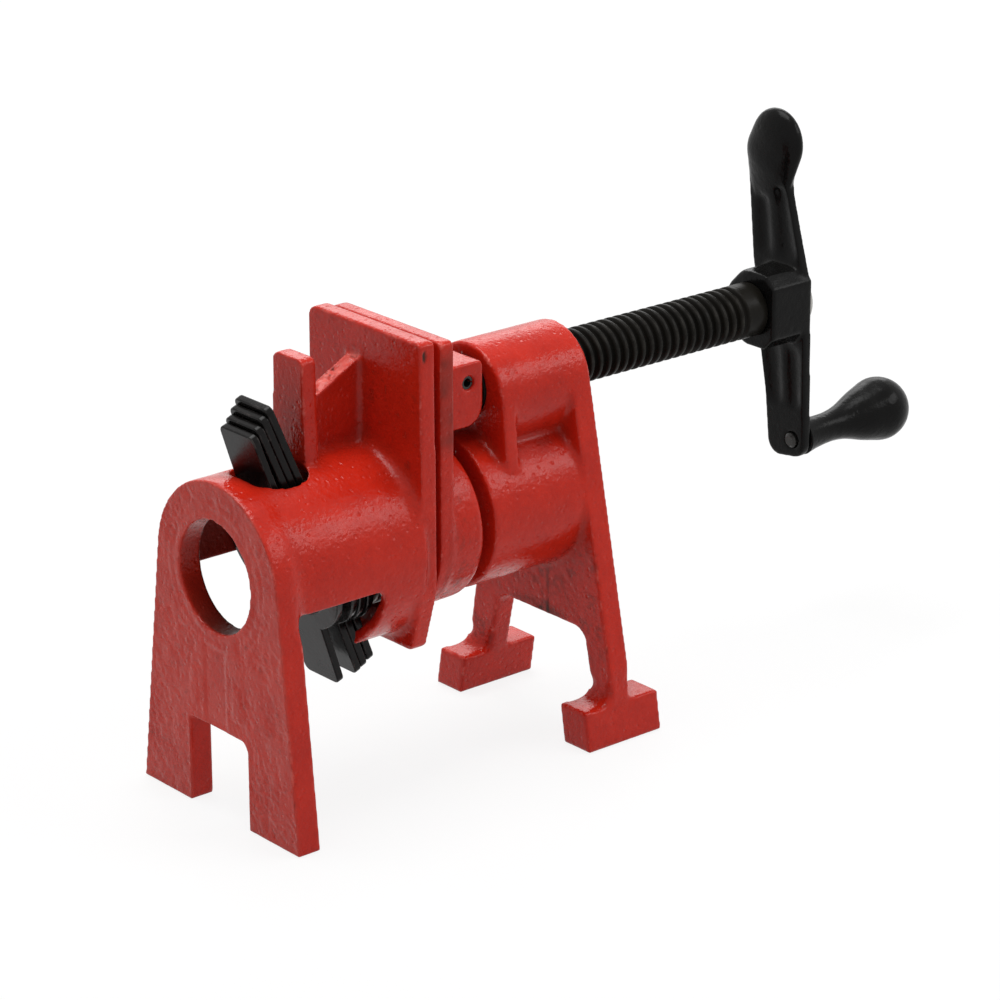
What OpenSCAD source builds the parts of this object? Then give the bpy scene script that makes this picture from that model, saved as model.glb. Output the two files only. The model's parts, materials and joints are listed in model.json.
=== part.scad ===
// Woodworking pipe clamp for a 3/4 inch pipe, standing on its own feet.
// X runs along the pipe from the tail stop towards the crank, Y is sideways and Z is up.
// The origin is on the bench, under the pipe's line, at the front of the tail stop's leg plate.

/* [Pipe line] */
// Height of the pipe's centre line above the bench
pipe_z = 61.2; // [60:0.1:63]
// Radius of the sliding bores, for a pipe 26.7 mm across
bore_r = 14; // [13.6:0.05:14.2]
// Radius inside the head's pipe thread
thread_bore_r = 12.65; // [12.3:0.05:13]
// Height of the clamp screw's axis
screw_z = 92.05; // [91.5:0.1:93]

/* [Tail jaw] */
// Thickness of the leg plate
leg_t = 6.6; // [6:0.1:7.5]
// Radius of the leg plate's round top
arch_r = 23.8; // [23.3:0.1:25]
// How far the round top sits to one side, as cast
arch_y = -0.9; // [-1.5:0.1:0]
// Half the width of the leg plate on the bench
leg_half = 31.2; // [29:0.1:33]
// Half the width of the notch between the two feet
notch_half = 11.45; // [8:0.1:14]
// Height of the notch
notch_h = 22.3; // [15:0.1:26]
// Outer radius of the barrel
barrel_r = 23.5; // [23.3:0.1:24.5]
// Radius of the hollow that holds the plates and the spring
hollow_r = 21.2; // [20.8:0.1:21.6]
// How far the hollow's axis lies below the pipe's
hollow_drop = 0.6; // [0:0.1:0.8]
// Height above which the barrel is closed all the way along
open_z = 56.2; // [54:0.1:57]
// Outer radius of the collar at the jaw end of the barrel
collar_r = 23.2; // [22.6:0.1:24]
// How far the collar's axis lies below the pipe's
collar_drop = 1.8; // [1:0.1:2.4]
// Where the collar starts
collar_x = 31.3; // [30:0.1:33]
// Half the width of the slot that the plates stand out of
slot_half = 9.1; // [8.5:0.1:10]
// Where that slot starts
slot_x = 8.4; // [7.6:0.1:8.6]
// Half the width of the lower slot, through the collar
low_slot_half = 10.8; // [9:0.1:12]
// Front of the thumb tab, and the end of the upper slot
tab_x = 24.3; // [24:0.1:25]
// Thickness of the thumb tab
tab_t = 4.4; // [3.5:0.1:5]
// Height of the thumb tab's top
tab_top = 110.3; // [106:0.1:112]
// Thickness of the rib behind the tab
rib_t = 5; // [3:0.1:6]

/* [Jaw plates] */
// Working face of the tail jaw
tail_face_x = 50; // [49.5:0.1:50.5]
// Thickness of the tail jaw's plate
tail_plate_t = 4.6; // [4:0.1:5]
// Gap between the two jaws as stored
jaw_gap = 1.7; // [1:0.1:2.5]
// Thickness of the movable jaw's plate
front_plate_t = 4.1; // [3.5:0.1:5]
// Half the width of the jaw plates at their tops
jaw_half = 21.3; // [20:0.1:22]
// Half their width where they taper in below the barrel
jaw_wide_half = 22; // [21.5:0.1:23]
// Top of the tail jaw's plate
tail_top = 114.2; // [112:0.1:116]
// Top of the movable jaw's plate
front_top = 113.2; // [111:0.1:115]
// Lower edge of the jaw plates
jaw_bottom = 35.6; // [34:0.1:37]

/* [Locking plates] */
// Thickness of a locking plate
plate_t = 2; // [1.8:0.05:2]
// Half the width of a plate's ends
plate_end_half = 6.5; // [6:0.1:7]
// Radius of a plate's round middle
plate_body_r = 20; // [19:0.1:20.4]
// Radius of the pipe hole in a plate
plate_hole_r = 15.4; // [15.3:0.05:15.6]
// Distance from one plate to the next at their upper ends, measured along the pipe
plate_step = 2.22; // [2.2:0.01:2.3]

/* [Clutch spring] */
// Wire diameter of the spring
wire_d = 1.4; // [1.2:0.1:1.5]
// Radius of the spring's coil, at the middle of the wire
coil_r = 16.2; // [15.6:0.1:16.4]
// Number of turns
coil_turns = 3.5; // [3:0.5:3.5]

/* [Movable jaw] */
// Outer radius of the sleeve on the pipe
sleeve_r = 21; // [20:0.1:21.5]
// Length of the sleeve behind the plate
sleeve_len = 10.7; // [9:0.1:11]
// Length of the block that holds the screw's tip
block_len = 17.2; // [16:0.1:17.5]
// Half the width of the block
block_half = 11.5; // [10.5:0.1:12.5]
// Lower face of the block
block_bottom = 86; // [84:0.1:86.5]
// Top of the block
block_top = 102.3; // [101.5:0.1:104]
// Radius of the cross hole
cross_hole_r = 1.75; // [1.5:0.05:2]
// Where the cross hole is, along the pipe
cross_x = 68.6; // [68:0.1:69]
// Height of the cross hole above the screw's axis
cross_up = 5.15; // [5:0.05:5.4]

/* [Head] */
// Front of the pipe socket
socket_x = 70; // [70:0.1:71]
// Outer radius of the pipe socket
socket_r = 19.8; // [18.5:0.1:20.5]
// Front of the screw boss and its web
boss_x = 77; // [77:0.1:78]
// Radius of the screw boss
boss_r = 13.6; // [12.5:0.1:14.5]
// How far the boss sits to one side, as cast
boss_y = -0.5; // [-1:0.1:0]
// Height of the screw boss's axis
boss_z = 89.5; // [88.5:0.1:90]
// Thickness of the web at the boss's front
front_web_t = 4; // [3:0.1:5]
// Thickness of the middle web between the boss and the socket
mid_web_t = 5.6; // [4:0.1:8]
// Front of the back plate that runs down into the legs
back_x = 99.2; // [98.5:0.1:100]
// Thickness of the back plate
back_t = 6.2; // [5.5:0.1:7]
// Half the spread of the legs just above the feet
leg_spread = 27.5; // [26.5:0.1:28.5]
// Sideways lean of the legs, as cast
leg_lean = -2.3; // [-3:0.1:0]
// Top of the arch between the legs
arch_top = 27.5; // [24:0.1:30]
// Half the outer spread of the feet on the bench
foot_spread = 30.1; // [29:0.1:31]
// Width of a foot
foot_w = 9.9; // [9:0.1:11]
// Height of a foot
foot_h = 10.3; // [9:0.1:11]
// Length of a foot
foot_len = 24.2; // [20:0.1:26]

/* [Clamp screw] */
// Outer radius of the screw
screw_r = 7.17; // [7:0.01:7.2]
// Radius at the bottom of the thread
screw_root_r = 5.8; // [5.2:0.1:6]
// Distance the screw moves in one turn
pitch = 2.87; // [2.5:0.01:4]
// Where the screw's tip is
tip_x = 60; // [59:0.1:61]
// Where the thread starts
thread_start_x = 76; // [75:0.5:77]
// Where the thread ends
thread_end_x = 167.5; // [166:0.5:168]

/* [Crank] */
// Front of the crank's hub
hub_x = 173; // [172:0.1:174]
// Length of the hub
hub_len = 14.2; // [13:0.1:15]
// Half the width of the hub
hub_half_w = 9; // [8.6:0.1:9.6]
// How far the hub sits to one side, as cast
hub_y = 0.4; // [0:0.1:1]
// Half the height of the hub
hub_half_h = 10; // [9.6:0.1:11]
// Front face of the arms
arm_x = 184.4; // [184:0.1:185]
// Thickness of the arms
arm_t = 2.8; // [2.4:0.1:3.4]
// Height of the thumb paddle's middle
paddle_z = 131.5; // [130:0.1:133]
// Thickness of the thumb paddle
paddle_t = 7.4; // [6:0.1:9]
// Width of the thumb paddle
paddle_w = 20.2; // [18:0.1:22]
// Lower end of the crank
arm_bottom = 48.7; // [47:0.1:50]
// Side of the square hole in the hub
square_w = 9.7; // [9:0.1:10]

// Thickness of the lock washer behind the hub
washer_t = 1.2; // [0.8:0.1:2]

/* [Knob] */
// Sideways place of the knob's pin
knob_y = -5.1; // [-5.5:0.1:-4]
// Height of the knob's pin where it leaves the arm
knob_z = 54.7; // [54:0.1:56]
// Upward tilt of the knob's pin
knob_tilt = 3; // [0:0.5:4]
// Radius of the knob's ball
ball_r = 8.6; // [8:0.05:9.5]
// Distance from the arm's front face to the ball's centre
ball_reach = 32.2; // [31:0.1:34]
// Radius of the knob's neck
neck_r = 4; // [3.8:0.1:4.5]
// Radius of the knob's pin
pin_r = 2; // [1.8:0.05:2.2]

/* [Hidden] */
$fn = 96;
// Overlap that makes two solids of one casting run into each other
bite = 0.5;
// A length that cuts right through anything here
far = 60;
// Radial clearance of turning and sliding fits
run_gap = 0.08;

enamel = "crimson";
black_paint = "dimgray";
bright_steel = "silver";

tail_plate_x = tail_face_x - tail_plate_t;
front_plate_x = tail_face_x + jaw_gap;
sleeve_x = front_plate_x + front_plate_t;
hollow_z = pipe_z - hollow_drop;
// Index of the locking plate nearest the jaw
last = 3;
// Height at which the plates' tops line up
plate_ref_z = 98;
// Front face of the first plate at that height
plate_ref_x = 6.4;
// Lean of each plate from upright: they fan out towards their lower ends
plate_lean = [19.6, 22.2, 22.2, 22.5];
// How far each plate reaches above its pipe hole's centre, and below it
plate_up = [36.6, 39.1, 41.4, 43.7];
plate_down = [36, 35.5, 34.4, 33];
// Where the wide seat of the spring ends, near the jaw's working face
spring_seat_x = 47.3;
head_back_x = back_x + back_t;
// Both feet lie a little to the right, and lean towards the middle at the top
foot_shift = -0.8;
foot_top_in = 1.7;
arm_back_x = arm_x + arm_t;
// The hub always reaches through the arms
hub_back_x = max(hub_x + hub_len, arm_back_x);

// ---- helpers ----

// A flat outline in Y and Z, made solid from x0 to x1
module along_x(x0, x1) {
    translate([x0, 0, 0])
        rotate([90, 0, 90])
            linear_extrude(x1 - x0)
                children();
}

// A flat outline in X and Z, made solid from y0 to y1
module along_y(y0, y1) {
    translate([0, y1, 0])
        rotate([90, 0, 0])
            linear_extrude(y1 - y0)
                children();
}

// A round bar along X
module rod_x(x0, x1, r, z = pipe_z) {
    translate([x0, 0, z])
        rotate([0, 90, 0])
            cylinder(h = x1 - x0, r = r);
}

// A shape turned about a line along X: its outline is given as radius and distance from x0
module turned_x(x0, z = pipe_z) {
    translate([x0, 0, z])
        rotate([0, 90, 0])
            rotate_extrude()
                children();
}

// The points of a round corner at b, between the sides to a and c
function corner_arc(a, b, c, r, steps = 6) =
    let (u = (a - b) / norm(a - b),
         v = (c - b) / norm(c - b),
         half = acos(u * v) / 2,
         centre = b + (u + v) / norm(u + v) * r / sin(half),
         from = b + u * r / tan(half) - centre,
         to = b + v * r / tan(half) - centre,
         start = atan2(from[1], from[0]),
         swing = atan2(to[1], to[0]) - start,
         turn = swing > 180 ? swing - 360 : swing < -180 ? swing + 360 : swing)
    [for (i = [0 : steps]) centre + r * [cos(start + turn * i / steps), sin(start + turn * i / steps)]];

// A closed outline with a radius at each corner, 0 where it stays sharp
function rounded(corners, radii) =
    let (n = len(corners))
    [for (i = [0 : n - 1])
        each radii[i] > 0
            ? corner_arc(corners[(i + n - 1) % n], corners[i], corners[(i + 1) % n], radii[i])
            : [corners[i]]];

// Where the straight side that ends at (half, 0) touches a circle of radius r at height z
function touch_point(half, z, r) =
    let (turn = atan2(-z, half) + acos(r / norm([half, z])))
    [r * cos(turn), z + r * sin(turn)];

// ---- tail jaw ----

module leg_outline() {
    right = touch_point(leg_half - arch_y, pipe_z, arch_r);
    left = touch_point(leg_half + arch_y, pipe_z, arch_r);
    translate([arch_y, pipe_z])
        circle(r = arch_r);
    polygon([[-leg_half, 0], [leg_half, 0], [arch_y + right[0], right[1]], [arch_y - left[0], left[1]]]);
}

module notch_outline() {
    corners = [[-notch_half, -5], [notch_half, -5], [notch_half, notch_h], [-notch_half, notch_h]];
    polygon(rounded(corners, [0, 0, 1.2, 2.6]));
}

// The tail jaw's plate reaches below the barrel and tapers in there
module tail_plate_outline() {
    taper_z = 52;
    foot_half = 17.2;
    corners = [[-foot_half, jaw_bottom], [foot_half, jaw_bottom], [jaw_wide_half, taper_z],
               [jaw_half, tail_top], [-jaw_half, tail_top], [-jaw_wide_half, taper_z]];
    polygon(rounded(corners, [2, 2, 6, 3, 1.4, 6]));
}

// The movable jaw's plate ends in a half round that follows its sleeve
module front_plate_outline() {
    corners = [[-jaw_half, pipe_z], [jaw_half, pipe_z], [jaw_half, front_top], [-jaw_half, front_top]];
    translate([0, pipe_z])
        circle(r = jaw_half);
    polygon(rounded(corners, [0, 0, 3, 1.4]));
}

// A hollow round fillet where a barrel of radius r meets a plate at x = 0
module root_fillet(r, size) {
    difference() {
        translate([r - bite, -size])
            square([size + bite, size + bite]);
        translate([r + size, -size])
            circle(r = size);
    }
}

module thumb_tab() {
    half = 7.1;
    middle = 2.1;
    narrowing = 1.4;
    corners = [[middle - half, pipe_z], [middle + half, pipe_z],
               [middle + half - narrowing, tab_top], [middle - half + narrowing, tab_top]];
    along_x(tab_x, tab_x + tab_t)
        polygon(rounded(corners, [0, 0, 2.2, 1.6]));
}

module tab_rib() {
    rib_middle_y = 3.3;
    ledge_z = 99.2;
    ledge_len = 2.8;
    slope_top = 107;
    back = tab_x + tab_t;
    corners = [[back - bite, pipe_z], [tail_plate_x + bite, pipe_z], [tail_plate_x + bite, slope_top],
               [back + ledge_len, ledge_z], [back - bite, ledge_z]];
    along_y(rib_middle_y - rib_t / 2, rib_middle_y + rib_t / 2)
        polygon(rounded(corners, [0, 0, 0, 2, 0]));
}

// Everything below the barrel's closed half, between the leg plate and the collar
module underside_opening() {
    round_r = 3.4;
    cut_front = leg_t;
    corners = [[cut_front, -5], [collar_x - 2, -5], [collar_x + 2.8, open_z], [cut_front, open_z]];
    along_y(-far, far)
        polygon(rounded(corners, [0, 0, round_r, round_r]));
}

// The slot leans with the plates, so its outline on top of the barrel keeps its length
module upper_slot() {
    lean = plate_lean[last];
    length = (tab_x - slot_x) * cos(lean);
    depth = 14;
    corners = [[0, -slot_half], [length, -slot_half], [length, slot_half], [0, slot_half]];
    translate([slot_x, 0, pipe_z + barrel_r])
        rotate([0, -lean, 0])
            translate([0, 0, -depth])
                linear_extrude(far)
                    polygon(rounded(corners, [5.5, 6.3, 6.3, 5.5]));
}

module lower_slot() {
    slot_end = 43.8;
    corners = [[collar_x - 4, -low_slot_half], [slot_end, -low_slot_half],
               [slot_end, low_slot_half], [collar_x - 4, low_slot_half]];
    translate([0, 0, pipe_z - far])
        linear_extrude(far)
            polygon(rounded(corners, [0, 3, 3, 0]));
}

module tail_jaw() {
    fillet = 3;
    color(enamel)
        difference() {
            union() {
                along_x(0, leg_t)
                    leg_outline();
                rod_x(leg_t - bite, tail_plate_x + bite, barrel_r);
                rod_x(collar_x - 2, tail_plate_x + bite, collar_r, pipe_z - collar_drop);
                thumb_tab();
                tab_rib();
                along_x(tail_plate_x, tail_face_x)
                    tail_plate_outline();
                intersection() {
                    turned_x(tail_plate_x)
                        root_fillet(barrel_r, fillet);
                    along_x(0, tail_face_x)
                        tail_plate_outline();
                }
            }
            underside_opening();
            upper_slot();
            lower_slot();
            along_x(-1, leg_t + 1)
                notch_outline();
            rod_x(-1, tail_face_x + 1, bore_r);
            rod_x(leg_t, spring_seat_x - 3.4, hollow_r, hollow_z);
            rod_x(leg_t, spring_seat_x, coil_r + wire_d);
        }
}

// ---- locking plates ----

// A plate lying flat: its length runs along Y here, with the pipe hole close to the origin
module plate_outline(top, bottom, hole_drop) {
    end_round = 1.8;
    root_half = 7.4;
    root_y = 18;
    corners = [[-plate_end_half, -bottom], [plate_end_half, -bottom], [root_half, -root_y],
               [root_half, root_y], [plate_end_half, top], [-plate_end_half, top],
               [-root_half, root_y], [-root_half, -root_y]];
    difference() {
        union() {
            translate([0, -hole_drop])
                circle(r = plate_body_r);
            polygon(rounded(corners, [end_round, end_round, 0, 0, end_round, end_round, 0, 0]));
        }
        translate([0, -hole_drop])
            circle(r = plate_hole_r);
    }
}

// The hole lies a little low in the front face, so that it is centred on the pipe through the
// leaning plate's thickness
module clutch_plate(i) {
    hole_drop = plate_t / 2 * tan(plate_lean[i]);
    front_x = plate_ref_x + i * plate_step + (plate_ref_z - pipe_z) * tan(plate_lean[i]);
    color(black_paint)
        translate([front_x, 0, pipe_z])
            rotate([0, -plate_lean[i], 0])
                rotate([90, 0, 90])
                    linear_extrude(plate_t)
                        plate_outline(plate_up[i], plate_down[i], hole_drop);
}

// ---- clutch spring ----

wire_sides = 6;
rings_per_turn = 8;
lead_rings = 2;
turn_rings = coil_turns * rings_per_turn;

// The plane that the spring's free end rests on: the back of the last plate
rest_x = plate_ref_x + last * plate_step + (plate_ref_z - pipe_z) * tan(plate_lean[last])
       + plate_t / cos(plate_lean[last]);
seat_gap = 0.35;

// A point on the middle of the wire after so many turns, counted from the jaw's end.
// The coil closes up towards its lower side, where the leaning plates come nearer the jaw.
function coil_point(turn) =
    let (angle = turn * 360 + 90,
         y = coil_r * cos(angle),
         z = coil_r * sin(angle),
         seat = spring_seat_x - seat_gap - wire_d / 2,
         free = rest_x - z * tan(plate_lean[last]) + seat_gap + wire_d / 2 / cos(plate_lean[last]))
    [seat + (free - seat) * turn / coil_turns, y, pipe_z + z];

// Each end runs straight on for one wire diameter
function end_point(turn, step) =
    let (here = coil_point(turn), near = coil_point(turn + step))
    here + (here - near) / norm(here - near) * wire_d;

wire_path = concat(
    [end_point(0, 0.02)],
    [for (i = [0 : turn_rings]) coil_point(i / rings_per_turn)],
    [end_point(coil_turns, -0.02)]);

function unit(v) = v / norm(v);
function heading(p, i) =
    unit(p[min(i + 1, len(p) - 1)] - p[max(i - 1, 0)]);

// Six points round the wire, square to its run, the first one pointing away from the coil's axis
function wire_ring(p, i) =
    let (along = heading(p, i),
         out = [0, p[i][1], p[i][2] - pipe_z],
         across = unit(cross(along, out)),
         up = cross(across, along))
    [for (k = [0 : wire_sides - 1])
        p[i] + wire_d / 2 * (cos(k * 360 / wire_sides) * up + sin(k * 360 / wire_sides) * across)];

module swept_wire(p) {
    rings = len(p);
    points = [for (i = [0 : rings - 1]) each wire_ring(p, i)];
    sides = [for (i = [0 : rings - 2])
        for (k = [0 : wire_sides - 1])
            let (a = i * wire_sides + k,
                 b = i * wire_sides + (k + 1) % wire_sides)
            each [[a, a + wire_sides, b], [b, a + wire_sides, b + wire_sides]]];
    first_cap = [for (k = [1 : wire_sides - 2]) [0, k, k + 1]];
    last_start = (rings - 1) * wire_sides;
    last_cap = [for (k = [1 : wire_sides - 2]) [last_start, last_start + k + 1, last_start + k]];
    polyhedron(points = points, faces = concat(sides, first_cap, last_cap));
}

// Least gap between the wire and the turns next to it
gap_steps = 16;
turn_gaps = [for (i = [0 : (coil_turns - 1) * gap_steps])
    for (j = [i + gap_steps * 3 / 4 : min(i + gap_steps * 5 / 4, coil_turns * gap_steps)])
        norm(coil_point(j / gap_steps) - coil_point(i / gap_steps)) - wire_d];
echo(spring_least_gap_to_itself = min(turn_gaps));

module clutch_spring() {
    color(bright_steel)
        swept_wire(wire_path);
}

// ---- movable jaw ----

module sleeve_outline() {
    edge = 2.4;
    corners = [[0, -bite], [sleeve_r, -bite], [sleeve_r - 0.4, sleeve_len], [0, sleeve_len]];
    polygon(rounded(corners, [0, 0, edge, 0]));
}

module screw_block() {
    corners = [[sleeve_x - bite, block_bottom], [sleeve_x + block_len, block_bottom],
               [sleeve_x + block_len, block_top], [sleeve_x - bite, block_top]];
    along_y(-block_half, block_half)
        polygon(rounded(corners, [0, 5.2, 1.2, 0]));
}

// Joins the block to the sleeve, down the middle
module block_web() {
    half = 4;
    translate([sleeve_x - bite, -half, pipe_z + bore_r + bite])
        cube([sleeve_len - 2, 2 * half, block_bottom - pipe_z - bore_r]);
}

module movable_jaw() {
    tip_room = 1.5;
    color(enamel)
        difference() {
            union() {
                along_x(front_plate_x, sleeve_x)
                    front_plate_outline();
                turned_x(sleeve_x)
                    sleeve_outline();
                screw_block();
                block_web();
            }
            rod_x(front_plate_x - 1, sleeve_x + far, bore_r);
            rod_x(tip_x - tip_room, sleeve_x + block_len + 1, screw_r + run_gap, screw_z);
            translate([cross_x, far, screw_z + cross_up])
                rotate([90, 0, 0])
                    cylinder(h = 2 * far, r = cross_hole_r);
        }
}

// A rolled spring pin: a tube with a slit along it
module screw_pin() {
    length = 2 * block_half - 1.6;
    wall = 0.55;
    outer = cross_hole_r - 0.1;
    color(black_paint)
        translate([cross_x, length / 2, screw_z + cross_up])
            rotate([90, 0, 0])
                difference() {
                    cylinder(h = length, r = outer);
                    translate([0, 0, -1])
                        cylinder(h = length + 2, r = outer - wall);
                    translate([0, -0.2, -1])
                        cube([outer + 1, 0.4, length + 2]);
                }
}

// ---- head ----

module front_web_outline() {
    half_low = 16.4;
    low_z = 67.8;
    side_z = 90.8;
    translate([boss_y, boss_z])
        circle(r = boss_r);
    polygon([[-half_low, low_z], [half_low, low_z], [boss_y + boss_r, side_z], [boss_y - boss_r, side_z]]);
    translate([0, pipe_z])
        circle(r = socket_r);
}

// The right leg straightens just above its foot, so that the two are flush
module back_outline() {
    bend_z = 19;
    side_z = 90.8;
    low_z = 15.8;
    slope = (leg_spread - boss_r) / (side_z - low_z);
    floor_half = leg_spread + slope * (low_z - 1);
    lean_floor = leg_lean * (side_z - 1) / (side_z - low_z);
    arch_half = 20.3;
    arch_lean = -2.5;
    arch_in = 4;
    low_edge = [lean_floor - floor_half, 1];
    high_edge = [boss_y - boss_r, side_z];
    bend = low_edge + (high_edge - low_edge) * (bend_z - 1) / (side_z - 1);
    difference() {
        union() {
            translate([boss_y, boss_z])
                circle(r = boss_r);
            polygon([[foot_shift - foot_spread + foot_top_in - 0.1, foot_h - bite],
                     [lean_floor + floor_half, 1], [boss_y + boss_r, side_z], high_edge, bend]);
        }
        polygon(rounded([[arch_lean - arch_half, -5], [arch_lean + arch_half, -5],
                         [arch_lean + arch_half - 0.2, foot_h],
                         [arch_lean + arch_half - arch_in, arch_top],
                         [arch_lean - arch_half + arch_in, arch_top],
                         [arch_lean - arch_half + 0.2, foot_h]], [0, 0, 0, 4, 4, 0]));
    }
}

// One foot, on the side given by 1 or -1
module foot(side) {
    outer = side * foot_spread + foot_shift;
    inner = side * (foot_spread - foot_w) + foot_shift;
    start = back_x + back_t / 2 - foot_len / 2 + 0.9;
    along_x(start, start + foot_len)
        polygon([[inner, 0], [outer, 0], [outer - side * foot_top_in, foot_h],
                 [inner - side * foot_top_in, foot_h]]);
}

// Round corner between a leg and the top of its foot, seen from the side
module ankle_outline(size) {
    for (end = [[back_x, -1], [head_back_x, 1]])
        difference() {
            translate([end[0] - (end[1] > 0 ? bite : size), foot_h - bite])
                square([size + bite, size + bite]);
            translate([end[0] + end[1] * size, foot_h + size])
                circle(r = size);
        }
}

module ankle(side) {
    size = 2.6;
    outer = side * (foot_spread - foot_top_in - 0.2) + foot_shift;
    inner = side * (foot_spread - foot_w - 0.8) + foot_shift;
    along_y(min(inner, outer), max(inner, outer))
        ankle_outline(size);
}

module head() {
    color(enamel)
        difference() {
            union() {
                rod_x(socket_x, head_back_x, socket_r);
                translate([0, boss_y, 0])
                    rod_x(boss_x, head_back_x, boss_r, boss_z);
                along_x(boss_x, boss_x + front_web_t)
                    front_web_outline();
                translate([boss_x, -mid_web_t / 2, pipe_z])
                    cube([back_x - boss_x + bite, mid_web_t, boss_z - pipe_z]);
                along_x(back_x, head_back_x)
                    back_outline();
                for (side = [-1, 1]) {
                    foot(side);
                    ankle(side);
                }
            }
            rod_x(socket_x - 1, head_back_x + 1, thread_bore_r);
            rod_x(boss_x - 1, head_back_x + 1, screw_r + run_gap, screw_z);
        }
}

// ---- clamp screw ----

// Outline of the screw, as radius and distance from the tip
function thread_outline() =
    let (count = floor((thread_end_x - thread_start_x) / pitch),
         crest = pitch * 0.32,
         flank = pitch * 0.18)
    [for (i = [0 : count - 1])
        let (x = thread_start_x - tip_x + i * pitch)
        each [[screw_r, x], [screw_root_r, x + flank],
              [screw_root_r, x + pitch - crest - flank], [screw_r, x + pitch - crest]]];

module clamp_screw() {
    groove_half = 2;
    groove_r = cross_up - cross_hole_r;
    groove_x = cross_x - tip_x;
    tip_edge = 1.2;
    hub_play = 0.05;
    end_x = hub_x - hub_play - tip_x;
    tang_len = hub_back_x - hub_x - 1;
    tapped_r = 2.1;
    tapped_len = 12;
    color(black_paint)
        difference() {
            union() {
                turned_x(tip_x, screw_z)
                    polygon(concat(
                        [[0, 0], [screw_r - tip_edge, 0], [screw_r, tip_edge],
                         [screw_r, groove_x - groove_half], [groove_r, groove_x - groove_half],
                         [groove_r, groove_x + groove_half], [screw_r, groove_x + groove_half]],
                        thread_outline(),
                        [[screw_r, thread_end_x - tip_x], [screw_r, end_x - 0.4], [screw_r - 0.4, end_x],
                         [0, end_x]]));
                intersection() {
                    translate([hub_x - bite, -square_w / 2 + 0.05, screw_z - square_w / 2 + 0.05])
                        cube([tang_len + bite, square_w - 0.1, square_w - 0.1]);
                    rod_x(hub_x - bite, hub_x + tang_len, 6.3, screw_z);
                }
            }
            rod_x(hub_x + tang_len - tapped_len, hub_x + far, tapped_r, screw_z);
        }
}

// ---- crank ----

// Flat on one side and rounder on the other, as cast
module hub_outline() {
    w = hub_half_w;
    h = hub_half_h;
    flat_cut = 3.3;
    round_cut = 5.6;
    corners = [[w - round_cut, h], [flat_cut - w, h], [-w, h - flat_cut], [-w, flat_cut - h],
               [flat_cut - w, -h], [w - round_cut, -h], [w, round_cut - h], [w, h - round_cut]];
    translate([hub_y, screw_z])
        polygon(rounded(corners, [3, 1, 1, 1, 1, 3, 3, 3]));
}

module upper_arm_outline() {
    corners = [[-8.3, screw_z], [9.4, screw_z], [11.3, 101.5], [13.9, 127], [-1.5, 127],
               [-0.6, 123], [-4.4, 110], [-7.8, 99]];
    polygon(rounded(corners, [0, 0, 4, 0, 0, 14, 16, 8]));
}

module lower_arm_outline() {
    corners = [[8.6, screw_z], [-8.4, screw_z], [-9.1, 70], [-9.7, arm_bottom + 1.9], [3.6, arm_bottom],
               [5.5, 66], [7.8, 77.5]];
    polygon(rounded(corners, [0, 0, 20, 4.2, 4.2, 30, 20]));
}

// Shallow grooves on both sides of the arm's middle ridge, from the hub towards the arm's end
module arm_grooves() {
    depth = 0.9;
    along_x(arm_x - 1, arm_x + depth) {
        polygon(rounded([[4.2, 104], [8.4, 104], [9.4, 119], [6.4, 119]], [1.2, 1.2, 1.4, 1.2]));
        polygon(rounded([[1, 104], [-5, 104], [0.4, 122.5], [2.6, 122.5]], [1.2, 1.2, 0.8, 0.8]));
        polygon(rounded([[0.6, 80], [6, 80], [3.2, 64], [-1, 64]], [1.2, 1.2, 1.4, 1.4]));
        polygon(rounded([[-2.4, 80], [-6.6, 80], [-7.4, 64], [-4, 64]], [1.2, 1.2, 1.4, 1.4]));
    }
}

// The thumb paddle: a lopsided egg, thicker than the arm, that runs out along the neck
module paddle() {
    middle_x = arm_x + arm_t / 2 - 0.6;
    half_w = paddle_w / 2;
    // Sideways place, height above the paddle's middle, and half sizes of each ball under the skin
    balls = [[5.5, -0.8, paddle_t / 2, half_w - 1.3, 8.4],
             [3.8, 2.2, paddle_t / 2, half_w - 1.3, 9.2],
             [6.2, -12, arm_t / 2, 6.4, 3]];
    hull()
        for (b = balls)
            translate([middle_x, b[0], paddle_z + b[1]])
                scale([b[2], b[3], b[4]])
                    sphere(r = 1, $fn = 32);
}

module crank_handle() {
    color(black_paint)
        difference() {
            union() {
                along_x(hub_x, hub_back_x)
                    hub_outline();
                along_x(arm_x, arm_back_x) {
                    upper_arm_outline();
                    lower_arm_outline();
                }
                paddle();
            }
            arm_grooves();
            translate([hub_x - 1, -square_w / 2, screw_z - square_w / 2])
                cube([hub_back_x - hub_x + 5, square_w, square_w]);
            on_knob_axis()
                translate([0, 0, -far / 2])
                    cylinder(h = far, r = pin_r);
        }
}

// A split lock washer against the back of the hub
module crank_washer() {
    color(bright_steel)
        difference() {
            rod_x(hub_back_x, hub_back_x + washer_t, 7.6, screw_z);
            rod_x(hub_back_x - 1, hub_back_x + washer_t + 1, 2.7, screw_z);
            translate([hub_back_x - 1, 0, screw_z - 0.5])
                cube([washer_t + 2, far, 1]);
        }
}

// A pan-head screw with a cross recess, into the end of the clamp screw
module crank_screw() {
    shank_r = 2.05;
    shank_len = 12;
    head_r = 4.6;
    head_h = 3;
    seat_x = hub_back_x + washer_t;
    recess = 1.1;
    color(bright_steel)
        difference() {
            union() {
                rod_x(seat_x - shank_len, seat_x + 0.5, shank_r, screw_z);
                turned_x(seat_x, screw_z)
                    polygon(rounded([[0, 0], [head_r, 0], [head_r, head_h], [0, head_h]], [0, 0.3, 1.6, 0]));
            }
            for (turn = [0, 90])
                translate([seat_x + head_h - 1.6, 0, screw_z])
                    rotate([turn, 0, 0])
                        translate([0, -recess / 2, -2.6])
                            cube([3, recess, 5.2]);
        }
}

// ---- knob ----

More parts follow.
